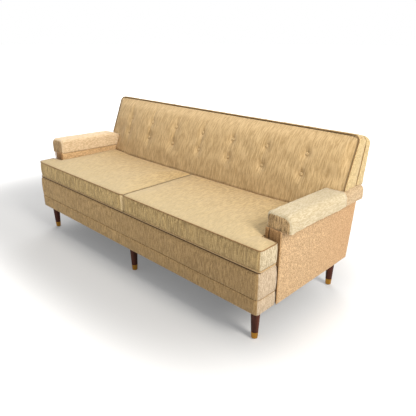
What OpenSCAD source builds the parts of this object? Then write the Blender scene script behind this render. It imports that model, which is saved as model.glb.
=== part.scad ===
// Two-seat-cushion sofa on six tapered wooden legs, in millimetres.
// -Y is the front, +Z is up, and +X is to the right of someone who faces the front.
// The origin is on the floor, under the middle of the object.

/* [Overall] */
// Depth from the base's front to the back's rear edge
depth = 832; // [800:1:860]
// Height of the welt along the top of the back
height = 823; // [805:1:840]
// Half the width of the base across its front
base_half_w = 930; // [926:1:934]
// Half the width across the two arm pads, caps included
arms_half_w = 976; // [966:1:990]
// Half the width of the back above the arms
back_half_w = 945; // [941:1:955]

/* [Seat] */
// Height of the base's lower edge, which the legs reach
base_h = 164; // [150:1:180]
// Height of the seam between the base's band and its border
band_h = 239; // [225:1:255]
// Height of the deck that the cushions lie on
deck_h = 372.5; // [368:0.5:380]
// Thickness of a seat cushion from welt to welt
cushion_t = 98; // [80:1:110]
// Gap down the middle between the two cushions
cushion_gap = 3; // [2:0.5:8]
// Radius of a cushion's front outer corner
cushion_corner_r = 30; // [15:1:40]
// Gap between a cushion and the fixed upholstery behind it
cushion_back_gap = 5; // [4:0.5:10]

/* [Arms] */
// Half the width between the two inner arm faces
arm_inner = 852; // [850:1:856]
// Distance of the arm's front face behind the base's front
arm_setback = 131; // [120:1:145]
// Height of the arm pad's lower edge at the front
pad_bottom_h = 517; // [500:1:530]
// Thickness of the padded arm top
pad_t = 67; // [55:1:80]
// How far the arm top falls for each millimetre that it runs back
arm_fall = 0.0235; // [0:0.0005:0.035]
// Thickness of the loose arm cap's cloth
cap_t = 3; // [2:0.5:4]
// Length of the arm that the loose cap covers
cap_len = 461; // [380:1:465]

/* [Back] */
// How far the front of the back leans back for each millimetre of height
face_rake = 0.4037; // [0.38:0.0001:0.42]
// How far the rear of the back leans back for each millimetre of height
rear_rake = 0.13; // [0.12:0.005:0.14]
// How far the padded face stands in front of its welted edges
bow = 50; // [30:1:55]
// Depth of the back's top border from its front welt to its rear edge
top_depth = 111; // [105:1:118]
// Fall of the back's top from its front welt to its rear edge
top_fall = 29; // [20:1:35]
// Radius of the back's upper corners
back_corner_r = 35; // [30:1:45]
// Columns of covered buttons
button_columns = 7; // [5:1:7]
// Distance between two columns of buttons
button_pitch = 238.6; // [220:0.1:245]
// Height of the upper row of buttons
button_row_high = 709; // [700:1:720]
// Height of the lower row of buttons
button_row_low = 612; // [600:1:630]
// Diameter of a covered button
button_d = 21; // [16:1:26]

/* [Legs] */
// Distance of the end legs from the middle
leg_x = 879; // [870:1:880]
// Distance of the front legs behind the base's front
leg_front_in = 58; // [56:1:60]
// Distance of the rear legs behind the base's front
leg_rear_in = 699; // [697:1:701]
// Diameter of a leg at its top
leg_top_d = 48; // [40:1:52]
// Diameter that a leg tapers to at the floor
leg_foot_d = 29; // [24:1:34]
// Height of the brass ferrule's upper edge
ferrule_h = 37; // [28:1:45]

/* [Frame] */
// Thickness of the hardwood rails
rail_t = 28; // [24:1:30]
// Thickness of the plywood back posts
post_t = 22; // [18:1:24]
// Number of sinuous springs under the seat
seat_spring_count = 12; // [8:2:12]
// Diameter of the spring wire
wire_d = 4; // [3:0.5:4.5]

/* [Hidden] */
$fn = 48;

gold = [0.72, 0.60, 0.40];
gold_light = [0.82, 0.72, 0.52];
peach = [0.85, 0.68, 0.46];
cream = [0.90, 0.83, 0.68];
dark_welt = [0.45, 0.36, 0.20];
bare_wood = [0.76, 0.60, 0.40];
walnut = [0.20, 0.10, 0.08];
steel = [0.62, 0.62, 0.64];

front_y = -depth / 2;
arm_front_y = front_y + arm_setback;
cloth_t = 6;
skin_t = 1.5;
clear = 0.5;

// Frame heights and positions
plate_t = 3;
dust_t = 1;
rail_bottom = base_h + dust_t + plate_t;
rail_top = 340;
frame_half_w = base_half_w - cloth_t - 4;
rail_front_y = front_y + cloth_t + 2;
rail_back_y = front_y + 714;
block = 60;
block_t = 60;
center_half_w = 40;
center_t = 47;
post_x = arm_inner + 16;

// The back in side view: the plane of its front welt, the seam behind its border, and its rear
welt_top_y = front_y + depth - top_depth;
rear_top_z = height - top_fall;
seam_share = 0.58;
seam_rake = 0.11;
function face_y(z) = welt_top_y - face_rake * (height - z);
function rear_y(z) = depth / 2 - rear_rake * (rear_top_z - z);
function top_z(y) = height - top_fall * (y - welt_top_y) / top_depth;
seam_top_y = welt_top_y + seam_share * top_depth;
function seam_y(z) = seam_top_y - seam_rake * (top_z(seam_top_y) - z);

// The padded face: bowed forward in the middle, upright behind the cushions, rolled over at the top
face_foot_z = 478;
bow_half_w = back_half_w - 9;
roll_start_z = button_row_high;
function bow_x(x) = 1 - pow(min(abs(x) / bow_half_w, 1), 4);
function bow_z(z) = z <= roll_start_z ? 1 : 1 - pow((z - roll_start_z) / (height - roll_start_z), 2);
function padded_y(x, z) = face_y(max(z, face_foot_z)) - bow * bow_x(x) * bow_z(z);
pad_depth = 42;
spring_plane = pad_depth + 2;
post_plane = 54;

// Arm tops fall a little towards the back
function arm_z(z, y) = z - arm_fall * (y - arm_front_y);
pad_front_y = arm_front_y + 12;
pad_rear_y = depth / 2 - 51;
pad_inner = arm_inner + 1;
pad_outer = arms_half_w - cap_t - 1;
board_t = 22;
board_in = 7;
arm_panel_outer = base_half_w + 7;
wing_z = 575;

// Cushions
cushion_bottom = deck_h + clear;
cushion_top = cushion_bottom + cushion_t;
cushion_inner = cushion_gap / 2;
cushion_side = arm_inner - 4.5;
cushion_ear = base_half_w + 1.6;
cushion_front_y = front_y + 7;
ear_rear_y = arm_front_y - 6.5;
welt = 3;
welt_h = 5;
zip_start = 60;
zip_len = 400;
zip_z = (cushion_bottom + cushion_top) / 2;

mirrored = [-1, 1];
leg_spots = [
  for (y = [front_y + leg_front_in, front_y + leg_rear_in])
    for (x = [-leg_x, 0, leg_x]) [x, y]
];

// A shape drawn in side view as [y, z] points, from x0 to x1
module side_shape(points, x0, x1) {
  translate([x0, 0, 0])
    rotate([90, 0, 90])
      linear_extrude(height = x1 - x0) polygon(points);
}

// A block between two corners
module span(a, b) {
  translate(a) cube(b - a);
}

// A rounded corner from p0 to p1, bent towards the sharp corner c
function corner(p0, c, p1, steps = 6) = [
  for (i = [0 : steps])
    let (t = i / steps)
      (1 - t) * (1 - t) * p0 + 2 * t * (1 - t) * c + t * t * p1
];

// Points of a line with a width, mitred at its bends
function unit(v) = v / norm(v);
function turn(v) = [-v[1], v[0]];
function bend(path, i) =
  let (a = unit(path[max(i, 1)] - path[max(i, 1) - 1]))
    let (b = unit(path[min(i + 1, len(path) - 1)] - path[min(i, len(path) - 2)]))
      let (m = unit(turn(a) + turn(b)))
        m / (m * turn(a));
function ribbon(path, w) = concat(
  [for (i = [0 : len(path) - 1]) path[i] + bend(path, i) * w / 2],
  [for (i = [len(path) - 1 : -1 : 0]) path[i] - bend(path, i) * w / 2]
);

// ---------- frame ----------

module front_rail() {
  color(bare_wood)
    span([-frame_half_w, rail_front_y, rail_bottom], [frame_half_w, rail_front_y + rail_t, rail_top]);
}

module back_rail() {
  color(bare_wood)
    span([-frame_half_w, rail_back_y, rail_bottom], [frame_half_w, rail_back_y + rail_t, rail_top]);
}

module side_rail() {
  color(bare_wood)
    span(
      [frame_half_w - rail_t, rail_front_y + rail_t, rail_bottom],
      [frame_half_w, rail_back_y, rail_top]
    );
}

module side_rail_right() side_rail();
module side_rail_left() mirror([1, 0, 0]) side_rail();

module bolt_bores(r) {
  for (p = leg_spots)
    translate([p[0], p[1], base_h]) cylinder(r = r, h = 80);
}

module center_rail() {
  color(bare_wood)
    difference() {
      span([-center_half_w, rail_front_y + rail_t, rail_bottom],
        [center_half_w, rail_back_y, rail_bottom + center_t]);
      bolt_bores(4.5);
    }
}

module corner_blocks() {
  inner = frame_half_w - rail_t - block;
  outer = frame_half_w - rail_t;
  color(bare_wood)
    difference() {
      for (s = mirrored)
        for (y = [rail_front_y + rail_t, rail_back_y - block])
          span(
            [s > 0 ? inner : -outer, y, rail_bottom],
            [s > 0 ? outer : -inner, y + block, rail_bottom + block_t]
          );
      bolt_bores(4.5);
    }
}

module arm_posts() {
  post_w = 44;
  y0 = arm_front_y + cloth_t;
  shape = [
    [y0, rail_bottom], [y0 + post_w, rail_bottom],
    [y0 + post_w, arm_z(pad_bottom_h, y0 + post_w)], [y0, arm_z(pad_bottom_h, y0)]
  ];
  color(bare_wood)
    for (s = mirrored)
      side_shape(shape, s > 0 ? post_x : rail_t - frame_half_w, s > 0 ? frame_half_w - rail_t : -post_x);
}

// The arm top's board, cut back beside the back post
module arm_rail() {
  y0 = pad_front_y + board_in;
  y1 = face_y(pad_bottom_h) + post_plane - 9;
  y2 = pad_rear_y - board_in;
  function slab(a, b) = [
    [a, arm_z(pad_bottom_h, a)], [b, arm_z(pad_bottom_h, b)],
    [b, arm_z(pad_bottom_h, b) + board_t], [a, arm_z(pad_bottom_h, a) + board_t]
  ];
  color(bare_wood)
    union() {
      side_shape(slab(y0, y1), pad_inner + board_in, pad_outer - board_in);
      side_shape(slab(y0, y2), post_x + post_t + 2, pad_outer - board_in);
    }
}

module arm_rail_right() arm_rail();
module arm_rail_left() mirror([1, 0, 0]) arm_rail();

// Plywood uprights: wide at the seat, narrow at the top
module back_posts() {
  top = rear_top_z - 6;
  notch = rail_top + 1;
  shape = [
    [rail_back_y - 34, rail_bottom + block_t + 2], [rail_back_y - clear, rail_bottom + block_t + 2],
    [rail_back_y - clear, notch], [rear_y(notch) - 9, notch], [rear_y(top) - 9, top],
    [face_y(top) + post_plane, top], [face_y(face_foot_z) + post_plane, face_foot_z],
    [rail_back_y - 34, notch]
  ];
  color(bare_wood)
    for (x = [-post_x - post_t, -post_t / 2, post_x])
      side_shape(shape, x, x + post_t);
}

// A rail between the back posts, following both raked faces
module back_rail_piece(z0, z1) {
  shape = [
    [face_y(z0) + post_plane, z0], [face_y(z0) + post_plane + rail_t, z0],
    [face_y(z1) + post_plane + rail_t, z1], [face_y(z1) + post_plane, z1]
  ];
  color(bare_wood)
    for (s = mirrored)
      side_shape(shape, s > 0 ? post_t / 2 : -post_x, s > 0 ? post_x : -post_t / 2);
}

module back_top_rail() back_rail_piece(745, 785);
module back_lower_rail() back_rail_piece(452, 492);

// ---------- springs ----------

// A sinuous spring lying along +Y, from y = 0
module sinuous(length, half_w, pitch) {
  turns = floor(length / pitch);
  path = [
    for (i = [0 : turns])
      for (s = i % 2 == 0 ? [-1, 1] : [1, -1]) [s * half_w, i * length / turns]
  ];
  linear_extrude(height = wire_d) polygon(ribbon(path, wire_d));
}

spring_y0 = rail_front_y + rail_t / 2;
spring_len = rail_back_y + rail_t / 2 - spring_y0;
spring_pitch_x = 150;
spring_z = rail_top + 2;

module seat_springs() {
  color(steel)
    for (i = [0 : seat_spring_count - 1])
      translate([(i - (seat_spring_count - 1) / 2) * spring_pitch_x, spring_y0, spring_z])
        sinuous(spring_len, 23, 25);
}

back_spring_x = [-715, -477, -238, 238, 477, 715];
back_spring_z = [472, 765];

module back_springs() {
  tilt = atan(1 / face_rake);
  rise = back_spring_z[1] - back_spring_z[0];
  color(steel)
    for (x = back_spring_x)
      translate([x, face_y(back_spring_z[0]) + post_plane - 1.5, back_spring_z[0]])
        rotate([tilt, 0, 0])
          sinuous(rise * norm([1, face_rake]), 20, 24);
}

// Clips that hold the seat springs' ends on the two rails
module spring_clips() {
  clip_w = 18;
  for (i = [0 : seat_spring_count - 1])
    for (y = [spring_y0, spring_y0 + spring_len])
      color(steel)
        translate([(i - (seat_spring_count - 1) / 2) * spring_pitch_x - clip_w / 2, y - 7, rail_top])
          difference() {
            cube([clip_w, 14, wire_d + 3.5]);
            translate([-1, 7 - wire_d / 2 - 0.3, 1.7]) cube([clip_w + 2, 20, wire_d + 0.6]);
          }
}

// Burlap over the seat springs and behind the back's padding
module spring_burlap() {
  z = rail_top + wire_d + 5;
  y1 = rail_back_y - 42;
  low = face_foot_z + 20;
  high = rear_top_z - 10;
  color([0.62, 0.50, 0.33])
    union() {
      span([-arm_inner + 6, rail_front_y, z], [arm_inner - 6, y1, z + 1]);
      side_shape([
        [face_y(low) + pad_depth + 1, low], [face_y(low) + pad_depth + 2, low],
        [face_y(high) + pad_depth + 2, high], [face_y(high) + pad_depth + 1, high]
      ], -cushion_side + 2, cushion_side - 2);
    }
}

// ---------- seat and base ----------

// Cotton pad and deck cloth under the loose cushions, in the same T shape
module seat_deck() {
  z = rail_top + wire_d + 6.5;
  y_mid = arm_front_y - 1;
  y_rear = padded_y(0, cushion_bottom) - 1;
  color([0.80, 0.72, 0.55])
    translate([0, 0, z])
      linear_extrude(height = deck_h - z)
        polygon([
          [-frame_half_w, rail_front_y], [frame_half_w, rail_front_y], [frame_half_w, y_mid],
          [arm_inner - 1, y_mid], [arm_inner - 1, y_rear],
          [-arm_inner + 1, y_rear], [-arm_inner + 1, y_mid], [-frame_half_w, y_mid]
        ]);
}

module dust_cover() {
  color([0.12, 0.12, 0.12])
    difference() {
      span([-frame_half_w, rail_front_y, base_h], [frame_half_w, rear_y(base_h) - 7, base_h + dust_t]);
      for (p = leg_spots)
        translate([p[0], p[1], base_h - 1]) cylinder(d = leg_top_d + 3, h = dust_t + 2);
    }
}

// Cover that wraps the front and turns back to the arms at both ends
module base_wrap(z0, z1) {
  r = 14;
  y1 = arm_front_y - 8;
  function plan(d, rr) = concat(
    corner(
      [base_half_w - d, front_y + d + rr],
      [base_half_w - d, front_y + d],
      [base_half_w - d - rr, front_y + d]
    ),
    corner(
      [-base_half_w + d + rr, front_y + d],
      [-base_half_w + d, front_y + d],
      [-base_half_w + d, front_y + d + rr]
    )
  );
  outer = concat(plan(0, r), [[-base_half_w, y1], [-base_half_w + cloth_t, y1]]);
  inner = plan(cloth_t, r - cloth_t);
  turned = [for (i = [len(inner) - 1 : -1 : 0]) inner[i]];
  translate([0, 0, z0])
    linear_extrude(height = z1 - z0)
      polygon(concat(outer, turned, [[base_half_w - cloth_t, y1], [base_half_w, y1]]));
}

module base_cover() color(gold) base_wrap(band_h + 0.5, deck_h);
module base_band() color(gold) base_wrap(base_h, band_h - 0.5);

// ---------- arms ----------

module inside_arm() {
  y0 = arm_front_y + cloth_t;
  y1 = face_y(face_foot_z) + pad_depth - 2;
  z0 = rail_top + 8;
  color(peach)
    side_shape([
      [y0, z0], [y1, z0], [y1, arm_z(pad_bottom_h, y1) - 1], [y0, arm_z(pad_bottom_h, y0) - 1]
    ], arm_inner, arm_inner + 14);
}

module inside_arm_right() inside_arm();
module inside_arm_left() mirror([1, 0, 0]) inside_arm();

// Outside panel: under the pad, and up behind its rear end
module outside_arm() {
  y0 = arm_front_y + 4;
  y1 = pad_rear_y + 2;
  color(peach)
    side_shape([
      [y0, base_h], [rear_y(base_h), base_h], [rear_y(wing_z) , wing_z], [y1, wing_z],
      [y1, arm_z(pad_bottom_h, y1) - 1], [y0, arm_z(pad_bottom_h, y0) - 1]
    ], arm_panel_outer - cloth_t, arm_panel_outer);
}

module outside_arm_right() outside_arm();
module outside_arm_left() mirror([1, 0, 0]) outside_arm();

module arm_facings() {
  z0 = rail_top + 8;
  for (s = mirrored)
    color(gold_light)
      span([s > 0 ? arm_inner : 1 - base_half_w, arm_front_y, z0],
        [s > 0 ? base_half_w - 1 : -arm_inner, arm_front_y + cloth_t - 1, pad_bottom_h - 1]);
}

// Piping up the outer front edge of each arm
module arm_welts() {
  r = 3.5;
  for (s = mirrored)
    color(gold_light)
      translate([s * (arm_panel_outer - r), arm_front_y, base_h])
        cylinder(r = r, h = pad_bottom_h - 2 - base_h);
}

// Padding round the arm board, open underneath, cut back beside the back post
module arm_pad() {
  y0 = pad_front_y;
  y1 = pad_rear_y;
  cut_y = face_y(pad_bottom_h) + post_plane - 1.5;
  cover_t = board_t + clear;
  function roof(a, b, t) = [
    [a, arm_z(pad_bottom_h, a) - (t < pad_t ? 9 : 0)], [b, arm_z(pad_bottom_h, b) - (t < pad_t ? 9 : 0)],
    [b, arm_z(pad_bottom_h, b) + t], [a, arm_z(pad_bottom_h, a) + t]
  ];
  color(peach)
    difference() {
      side_shape(roof(y0, y1, pad_t), pad_inner, pad_outer);
      side_shape(
        roof(y0 + board_in - clear, cut_y, cover_t),
        pad_inner + board_in - clear, pad_outer - board_in + clear
      );
      side_shape(
        roof(cut_y - 1, y1 - board_in + clear, cover_t),
        post_x + post_t + 1, pad_outer - board_in + clear
      );
      span([pad_inner - 1, cut_y, base_h], [post_x + post_t + 1, y1 + 1, height]);
    }
}

module arm_pad_right() arm_pad();
module arm_pad_left() mirror([1, 0, 0]) arm_pad();

// Loose cap: top, two sides and front, open underneath and behind
module arm_cap() {
  y0 = pad_front_y - 1 - cap_t;
  y1 = y0 + cap_len;
  top_t = pad_t + 1 + cap_t;
  color(cream)
    difference() {
      side_shape([
        [y0, arm_z(pad_bottom_h, y0)], [y1, arm_z(pad_bottom_h, y1)],
        [y1, arm_z(pad_bottom_h, y1) + top_t], [y0, arm_z(pad_bottom_h, y0) + top_t]
      ], pad_inner - 1 - cap_t, pad_outer + 1 + cap_t);
      side_shape([
        [y0 + cap_t, base_h], [y1 + 9, base_h],
        [y1 + 9, arm_z(pad_bottom_h, y1 + 9) + pad_t + 1],
        [y0 + cap_t, arm_z(pad_bottom_h, y0 + cap_t) + pad_t + 1]
      ], pad_inner - 1, pad_outer + 1);
    }
}

module arm_cap_right() arm_cap();
module arm_cap_left() mirror([1, 0, 0]) arm_cap();

// ---------- back ----------

// The back's outline seen from the front, with its rounded upper corners, running back down the top's fall
module back_outline(half_w, drop, r) {
  foot = -height;
  translate([0, welt_top_y, height - drop])
    rotate([90 - atan(top_fall / top_depth), 0, 0])
      translate([0, 0, -depth])
        linear_extrude(height = 2 * depth) {
          translate([-half_w, foot]) square([2 * half_w, -r - foot]);
          translate([-half_w + r, foot]) square([2 * (half_w - r), -foot]);
          for (s = mirrored)
            translate([s * (half_w - r), -r]) circle(r = r);
        }
}

border_t = 8;

module back_border() {
  color(gold_light)
    difference() {
      intersection() {
        side_shape([
          [face_y(wing_z) + 1, wing_z], [welt_top_y + 1, top_z(welt_top_y + 1)],
          [seam_top_y - clear, top_z(seam_top_y)], [seam_y(wing_z) - clear, wing_z]
        ], -back_half_w, back_half_w);
        back_outline(back_half_w, 0, back_corner_r);
      }
      intersection() {
        side_shape([
          [0, wing_z - 9], [0, top_z(0) - border_t], [depth, top_z(depth) - border_t], [depth, wing_z - 9]
        ], -back_half_w + border_t, back_half_w - border_t);
        back_outline(back_half_w - border_t, border_t, back_corner_r - border_t);
      }
    }
}

// Outside back: a flat rear panel whose upper part turns forward to the seam
module outside_back() {
  t = 5;
  low_half_w = arm_panel_outer - cloth_t - clear;
  color(peach)
    union() {
      side_shape([
        [rear_y(base_h) - t, base_h], [rear_y(base_h), base_h],
        [rear_y(wing_z + 1), wing_z + 1], [rear_y(wing_z + 1) - t, wing_z + 1]
      ], -low_half_w, low_half_w);
      difference() {
        intersection() {
          side_shape([
            [seam_y(wing_z + 1) + clear, wing_z + 1], [seam_top_y + clear, top_z(seam_top_y)],
            [depth / 2, rear_top_z], [rear_y(wing_z + 1), wing_z + 1]
          ], -back_half_w, back_half_w);
          back_outline(back_half_w, 0, back_corner_r);
        }
        intersection() {
          side_shape([
            [0, wing_z - 9], [0, top_z(0) - t - 1], [depth / 2 - t, rear_top_z - t],
            [rear_y(wing_z - 9) - t, wing_z - 9]
          ], -back_half_w + t, back_half_w - t);
          back_outline(back_half_w - t, t, back_corner_r - t);
        }
      }
    }
}

// Piping round the front edge of the back: up both sides and along the top
module back_welt() {
  r = 3.5;
  half_w = back_half_w - r;
  cr = back_corner_r - r;
  z0 = wing_z + 2;
  lean = atan(face_rake);
  scale_z = norm([1, face_rake]);
  color(dark_welt)
    translate([0, face_y(height - r) - 1.1 * r, height - r])
      rotate([-lean, 0, 0]) {
        for (s = mirrored) {
          translate([s * half_w, 0, (z0 - height + r) * scale_z])
            cylinder(r = r, h = (height - r - z0) * scale_z - cr);
          translate([s * (half_w - cr), 0, -cr])
            rotate([90, 0, 0])
              rotate([0, 0, s > 0 ? 0 : 90])
                rotate_extrude(angle = 90) translate([cr, 0]) circle(r = r);
        }
        translate([-half_w + cr, 0, 0])
          rotate([0, 90, 0]) cylinder(r = r, h = 2 * (half_w - cr));
      }
}

// One block of the padded back, as a grid of points on its face and on the plane behind it
module pad_block(x0, x1, z0, columns, rows) {
  top_r = back_corner_r - border_t;
  edge = back_half_w - border_t - top_r;
  function crest(x) = height - border_t - 2
    - (abs(x) > edge ? top_r - sqrt(max(pow(top_r, 2) - pow(abs(x) - edge, 2), 0)) : 0);
  function node_z(x, j, fall) = z0 + (crest(x) - fall - z0) * j / rows;
  function at_x(i) = x0 + (x1 - x0) * i / columns;
  across = rows + 1;
  near = [
    for (i = [0 : columns]) for (j = [0 : rows])
      let (x = at_x(i), z = node_z(x, j, 0)) [x, padded_y(x, z), z]
  ];
  far = [
    for (i = [0 : columns]) for (j = [0 : rows])
      let (x = at_x(i), z = node_z(x, j, 11)) [x, face_y(max(z, face_foot_z)) + pad_depth, z]
  ];
  n = len(near);
  last = columns * across;
  grid = [
    for (i = [0 : columns - 1]) for (j = [0 : rows - 1])
      let (a = i * across + j, b = a + across)
        each [[a, a + 1, b], [a + 1, b + 1, b], [n + a, n + b, n + a + 1], [n + a + 1, n + b, n + b + 1]]
  ];
  rims = [
    for (i = [0 : columns - 1])
      let (a = i * across, b = a + across)
        each [
          [a, b, n + a], [b, n + b, n + a],
          [a + rows, n + a + rows, b + rows], [b + rows, n + a + rows, n + b + rows]
        ]
  ];
  ends = [
    for (j = [0 : rows - 1])
      each [[j, n + j, j + 1], [j + 1, n + j, n + j + 1],
        [last + j, last + j + 1, n + last + j], [last + j + 1, n + last + j + 1, n + last + j]]
  ];
  polyhedron(points = concat(near, far), faces = concat(grid, rims, ends), convexity = 4);
}

module back_pad() {
  inner = cushion_side;
  outer = back_half_w - border_t - 1;
  wing_rows = 10;
  color(gold) {
    pad_block(-inner, inner, rail_top + 10, 28, 16);
    pad_block(inner + clear, outer, wing_z + 3, 8, wing_rows);
    pad_block(-outer, -inner - clear, wing_z + 3, 8, wing_rows);
  }
}

function button_spots() = [
  for (i = [0 : button_columns - 1]) for (z = [button_row_high, button_row_low])
    [(i - (button_columns - 1) / 2) * button_pitch, z]
];

// Places its children at a button's [x, z], with +Z pointing out of the face
module at_button(p) {
  translate([p[0], padded_y(p[0], p[1]) - 1, p[1]])
    rotate([90 - atan(face_rake), 0, 0]) children();
}

module back_buttons() {
  r = button_d / 2;
  dome = concat(
    [[0, 0]],
    corner([r - 1.5, 0], [r, 0], [r, 2]),
    corner([r, 2.5], [r - 0.5, 6], [r / 2, 7.3]),
    [[0, 8]]
  );
  color(gold_light)
    for (p = button_spots())
      at_button(p) rotate_extrude() polygon(dome);
}

module button_twine() {
  color([0.85, 0.80, 0.68])
    for (p = button_spots()) {
      through = (pad_depth + bow * bow_x(p[0]) * bow_z(p[1])) * cos(atan(face_rake)) - 1;
      at_button(p) translate([0, 0, -through]) cylinder(r = 1, h = through - clear);
    }
}

// ---------- seat cushions ----------

function cushion_rear(x) = padded_y(x, cushion_top) - cushion_back_gap;

// Plan of the right-hand cushion, drawn d inside its outer line
function cushion_plan(d) =
  let (
    r = max(cushion_corner_r - d, 4),
    xi = cushion_inner + d, xs = cushion_side - d, xe = cushion_ear - d,
    yf = cushion_front_y + d, ye = ear_rear_y - d, s = 8, steps = 12
  )
    concat(
      corner([xi, yf + s], [xi, yf], [xi + s, yf], 3),
      corner([xe - r, yf], [xe, yf], [xe, yf + r]),
      corner([xe, ye - s], [xe, ye], [xe - s, ye], 3),
      [[xs, ye]],
      [for (i = [steps : -1 : 0]) let (x = xi + (xs - xi) * i / steps) [x, cushion_rear(x) - d]]
    );

module cushion_slab(d, z0, z1) {
  translate([0, 0, z0]) linear_extrude(height = z1 - z0) polygon(cushion_plan(d));
}

module cushion_ring(d, t, z0, z1) {
  translate([0, 0, z0])
    linear_extrude(height = z1 - z0)
      difference() {
        polygon(cushion_plan(d));
        polygon(cushion_plan(d + t));
      }
}

module cushion_core() {
  color([0.93, 0.90, 0.78])
    cushion_slab(welt + skin_t + 0.3, cushion_bottom + skin_t + 0.3, cushion_top - skin_t - 0.3);
}

module cushion_panels() {
  color(gold_light) {
    cushion_slab(welt, cushion_bottom, cushion_bottom + skin_t);
    cushion_slab(welt, cushion_top - skin_t, cushion_top);
  }
}

module cushion_boxing() {
  color(gold)
    cushion_ring(welt, skin_t, cushion_bottom + skin_t, cushion_top - skin_t);
}

module cushion_welts() {
  color(dark_welt) {
    cushion_ring(0, welt, cushion_bottom, cushion_bottom + welt_h);
    cushion_ring(0, welt, cushion_top - welt_h, cushion_top);
  }
}

// Zip on the rear boxing, following its line
module zip_tape() {
  steps = 8;
  near = [
    for (i = [0 : steps])
      let (x = zip_start + zip_len * i / steps) [x, cushion_rear(x) - welt + 0.3]
  ];
  far = [for (i = [steps : -1 : 0]) near[i] + [0, 1]];
  color([0.70, 0.62, 0.45])
    translate([0, 0, zip_z - 12]) linear_extrude(height = 24) polygon(concat(near, far));
}

// Slider and pull, parked at the middle end of the zip
module zip_slider() {
  y0 = cushion_rear(zip_start) - welt + 1.7;
  color(steel)
    translate([zip_start + 4, y0, zip_z])
      union() {
        translate([0, 0, -4]) cube([11, 2, 8]);
        translate([2, 1.4, -20]) cube([6, 1.2, 19]);
      }
}

module cushion_core_right() cushion_core();
module cushion_core_left() mirror([1, 0, 0]) cushion_core();
module cushion_panels_right() cushion_panels();
module cushion_panels_left() mirror([1, 0, 0]) cushion_panels();
module cushion_boxing_right() cushion_boxing();
module cushion_boxing_left() mirror([1, 0, 0]) cushion_boxing();
module cushion_welts_right() cushion_welts();
module cushion_welts_left() mirror([1, 0, 0]) cushion_welts();
module zip_tape_right() zip_tape();
module zip_tape_left() mirror([1, 0, 0]) zip_tape();
module zip_slider_right() zip_slider();
module zip_slider_left() mirror([1, 0, 0]) zip_slider();

// ---------- legs ----------

tenon_bottom = 6;
shoulder = 0.3;
screw_at = [-20, 20];
ferrule_t = 1.4;
function leg_r(z) = (leg_foot_d + (leg_top_d - leg_foot_d) * z / base_h) / 2;

// Turned leg with a tenon for the ferrule, a bore for the bolt and a hole for the glide's nail
module leg(i) {
  top = base_h + dust_t;
  tenon = ferrule_t - shoulder;
  bolt_depth = 42;
  color(walnut)
    translate([leg_spots[i][0], leg_spots[i][1], 0])
      difference() {
        rotate_extrude()
          polygon([
            [0, tenon_bottom], [leg_r(tenon_bottom) - tenon - 0.2, tenon_bottom],
            [leg_r(ferrule_h) - tenon - 0.2, ferrule_h], [leg_r(ferrule_h), ferrule_h],
            [leg_r(top) - 1.5, top - 1.5], [leg_r(top) - 3, top], [0, top]
          ]);
        translate([0, 0, top - bolt_depth]) cylinder(r = 4, h = bolt_depth + 1);
        cylinder(r = 1.6, h = 22);
      }
}

module leg_front_left() leg(0);
module leg_front_center() leg(1);
module leg_front_right() leg(2);
module leg_rear_left() leg(3);
module leg_rear_center() leg(4);
module leg_rear_right() leg(5);

module at_legs() {
  for (p = leg_spots)
    translate([p[0], p[1], 0]) children();
}

module leg_ferrules() {
  z0 = 3.5;
  in0 = leg_r(z0) - ferrule_t + shoulder;
  color("goldenrod")
    at_legs()
      rotate_extrude()
        polygon([
          [3, z0], [leg_r(z0) + shoulder - 1.5, z0], [leg_r(z0) + shoulder, z0 + 2],
          [leg_r(ferrule_h) + shoulder, ferrule_h - clear],
          [leg_r(ferrule_h) - ferrule_t + shoulder, ferrule_h - clear],
          [in0, z0 + 1.5], [3, z0 + 1.5]
        ]);
}

module leg_glides() {
  color([0.75, 0.75, 0.72])
    at_legs() {
      rotate_extrude() polygon([[0, 0], [9, 0], [11, 1.6], [11, 3.3], [0, 3.3]]);
      cylinder(r = 1.4, h = 20);
    }
}

module leg_bolts() {
  color(steel)
    at_legs() translate([0, 0, base_h - 36]) cylinder(r = 3.9, h = 60);
}

module leg_plates() {
  half = 32;
  color(steel)
    at_legs()
      difference() {
        translate([-half, -half, base_h + dust_t + 0.2]) cube([2 * half, 2 * half, plate_t - 0.4]);
        translate([0, 0, base_h]) cylinder(r = 4.2, h = 9);
        for (x = screw_at) for (y = screw_at)
          translate([x, y, base_h]) cylinder(r = 2.2, h = 9);
      }
}

module plate_screws() {
  z0 = base_h + dust_t;
  color(steel)
    at_legs()
      for (x = screw_at) for (y = screw_at)
        translate([x, y, z0 + 0.2]) cylinder(r = 2, h = 26);
}

front_rail();
back_rail();
side_rail_left();
side_rail_right();
center_rail();
corner_blocks();
arm_posts();
arm_rail_left();
arm_rail_right();
back_posts();
back_top_rail();
back_lower_rail();
seat_springs();
back_springs();
spring_clips();
spring_burlap();
seat_deck();
dust_cover();
base_cover();
base_band();
inside_arm_left();
inside_arm_right();
outside_arm_left();
outside_arm_right();
arm_facings();
arm_welts();
arm_pad_left();
arm_pad_right();
arm_cap_left();
arm_cap_right();
back_pad();
back_border();
back_welt();
outside_back();
back_buttons();
button_twine();
cushion_core_left();
cushion_core_right();
cushion_panels_left();
cushion_panels_right();
cushion_boxing_left();
cushion_boxing_right();
cushion_welts_left();
cushion_welts_right();
zip_tape_left();
zip_tape_right();
zip_slider_left();
zip_slider_right();
leg_front_left();
leg_front_center();
leg_front_right();
leg_rear_left();
leg_rear_center();
leg_rear_right();
leg_ferrules();
leg_glides();
leg_bolts();
leg_plates();
plate_screws();
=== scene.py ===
"""Sofa with wooden legs: the looks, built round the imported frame. Metres, -Y is the front, +Z is up."""
import math

import bmesh
import bpy
import numpy as np
from mathutils import Matrix, Vector


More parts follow.
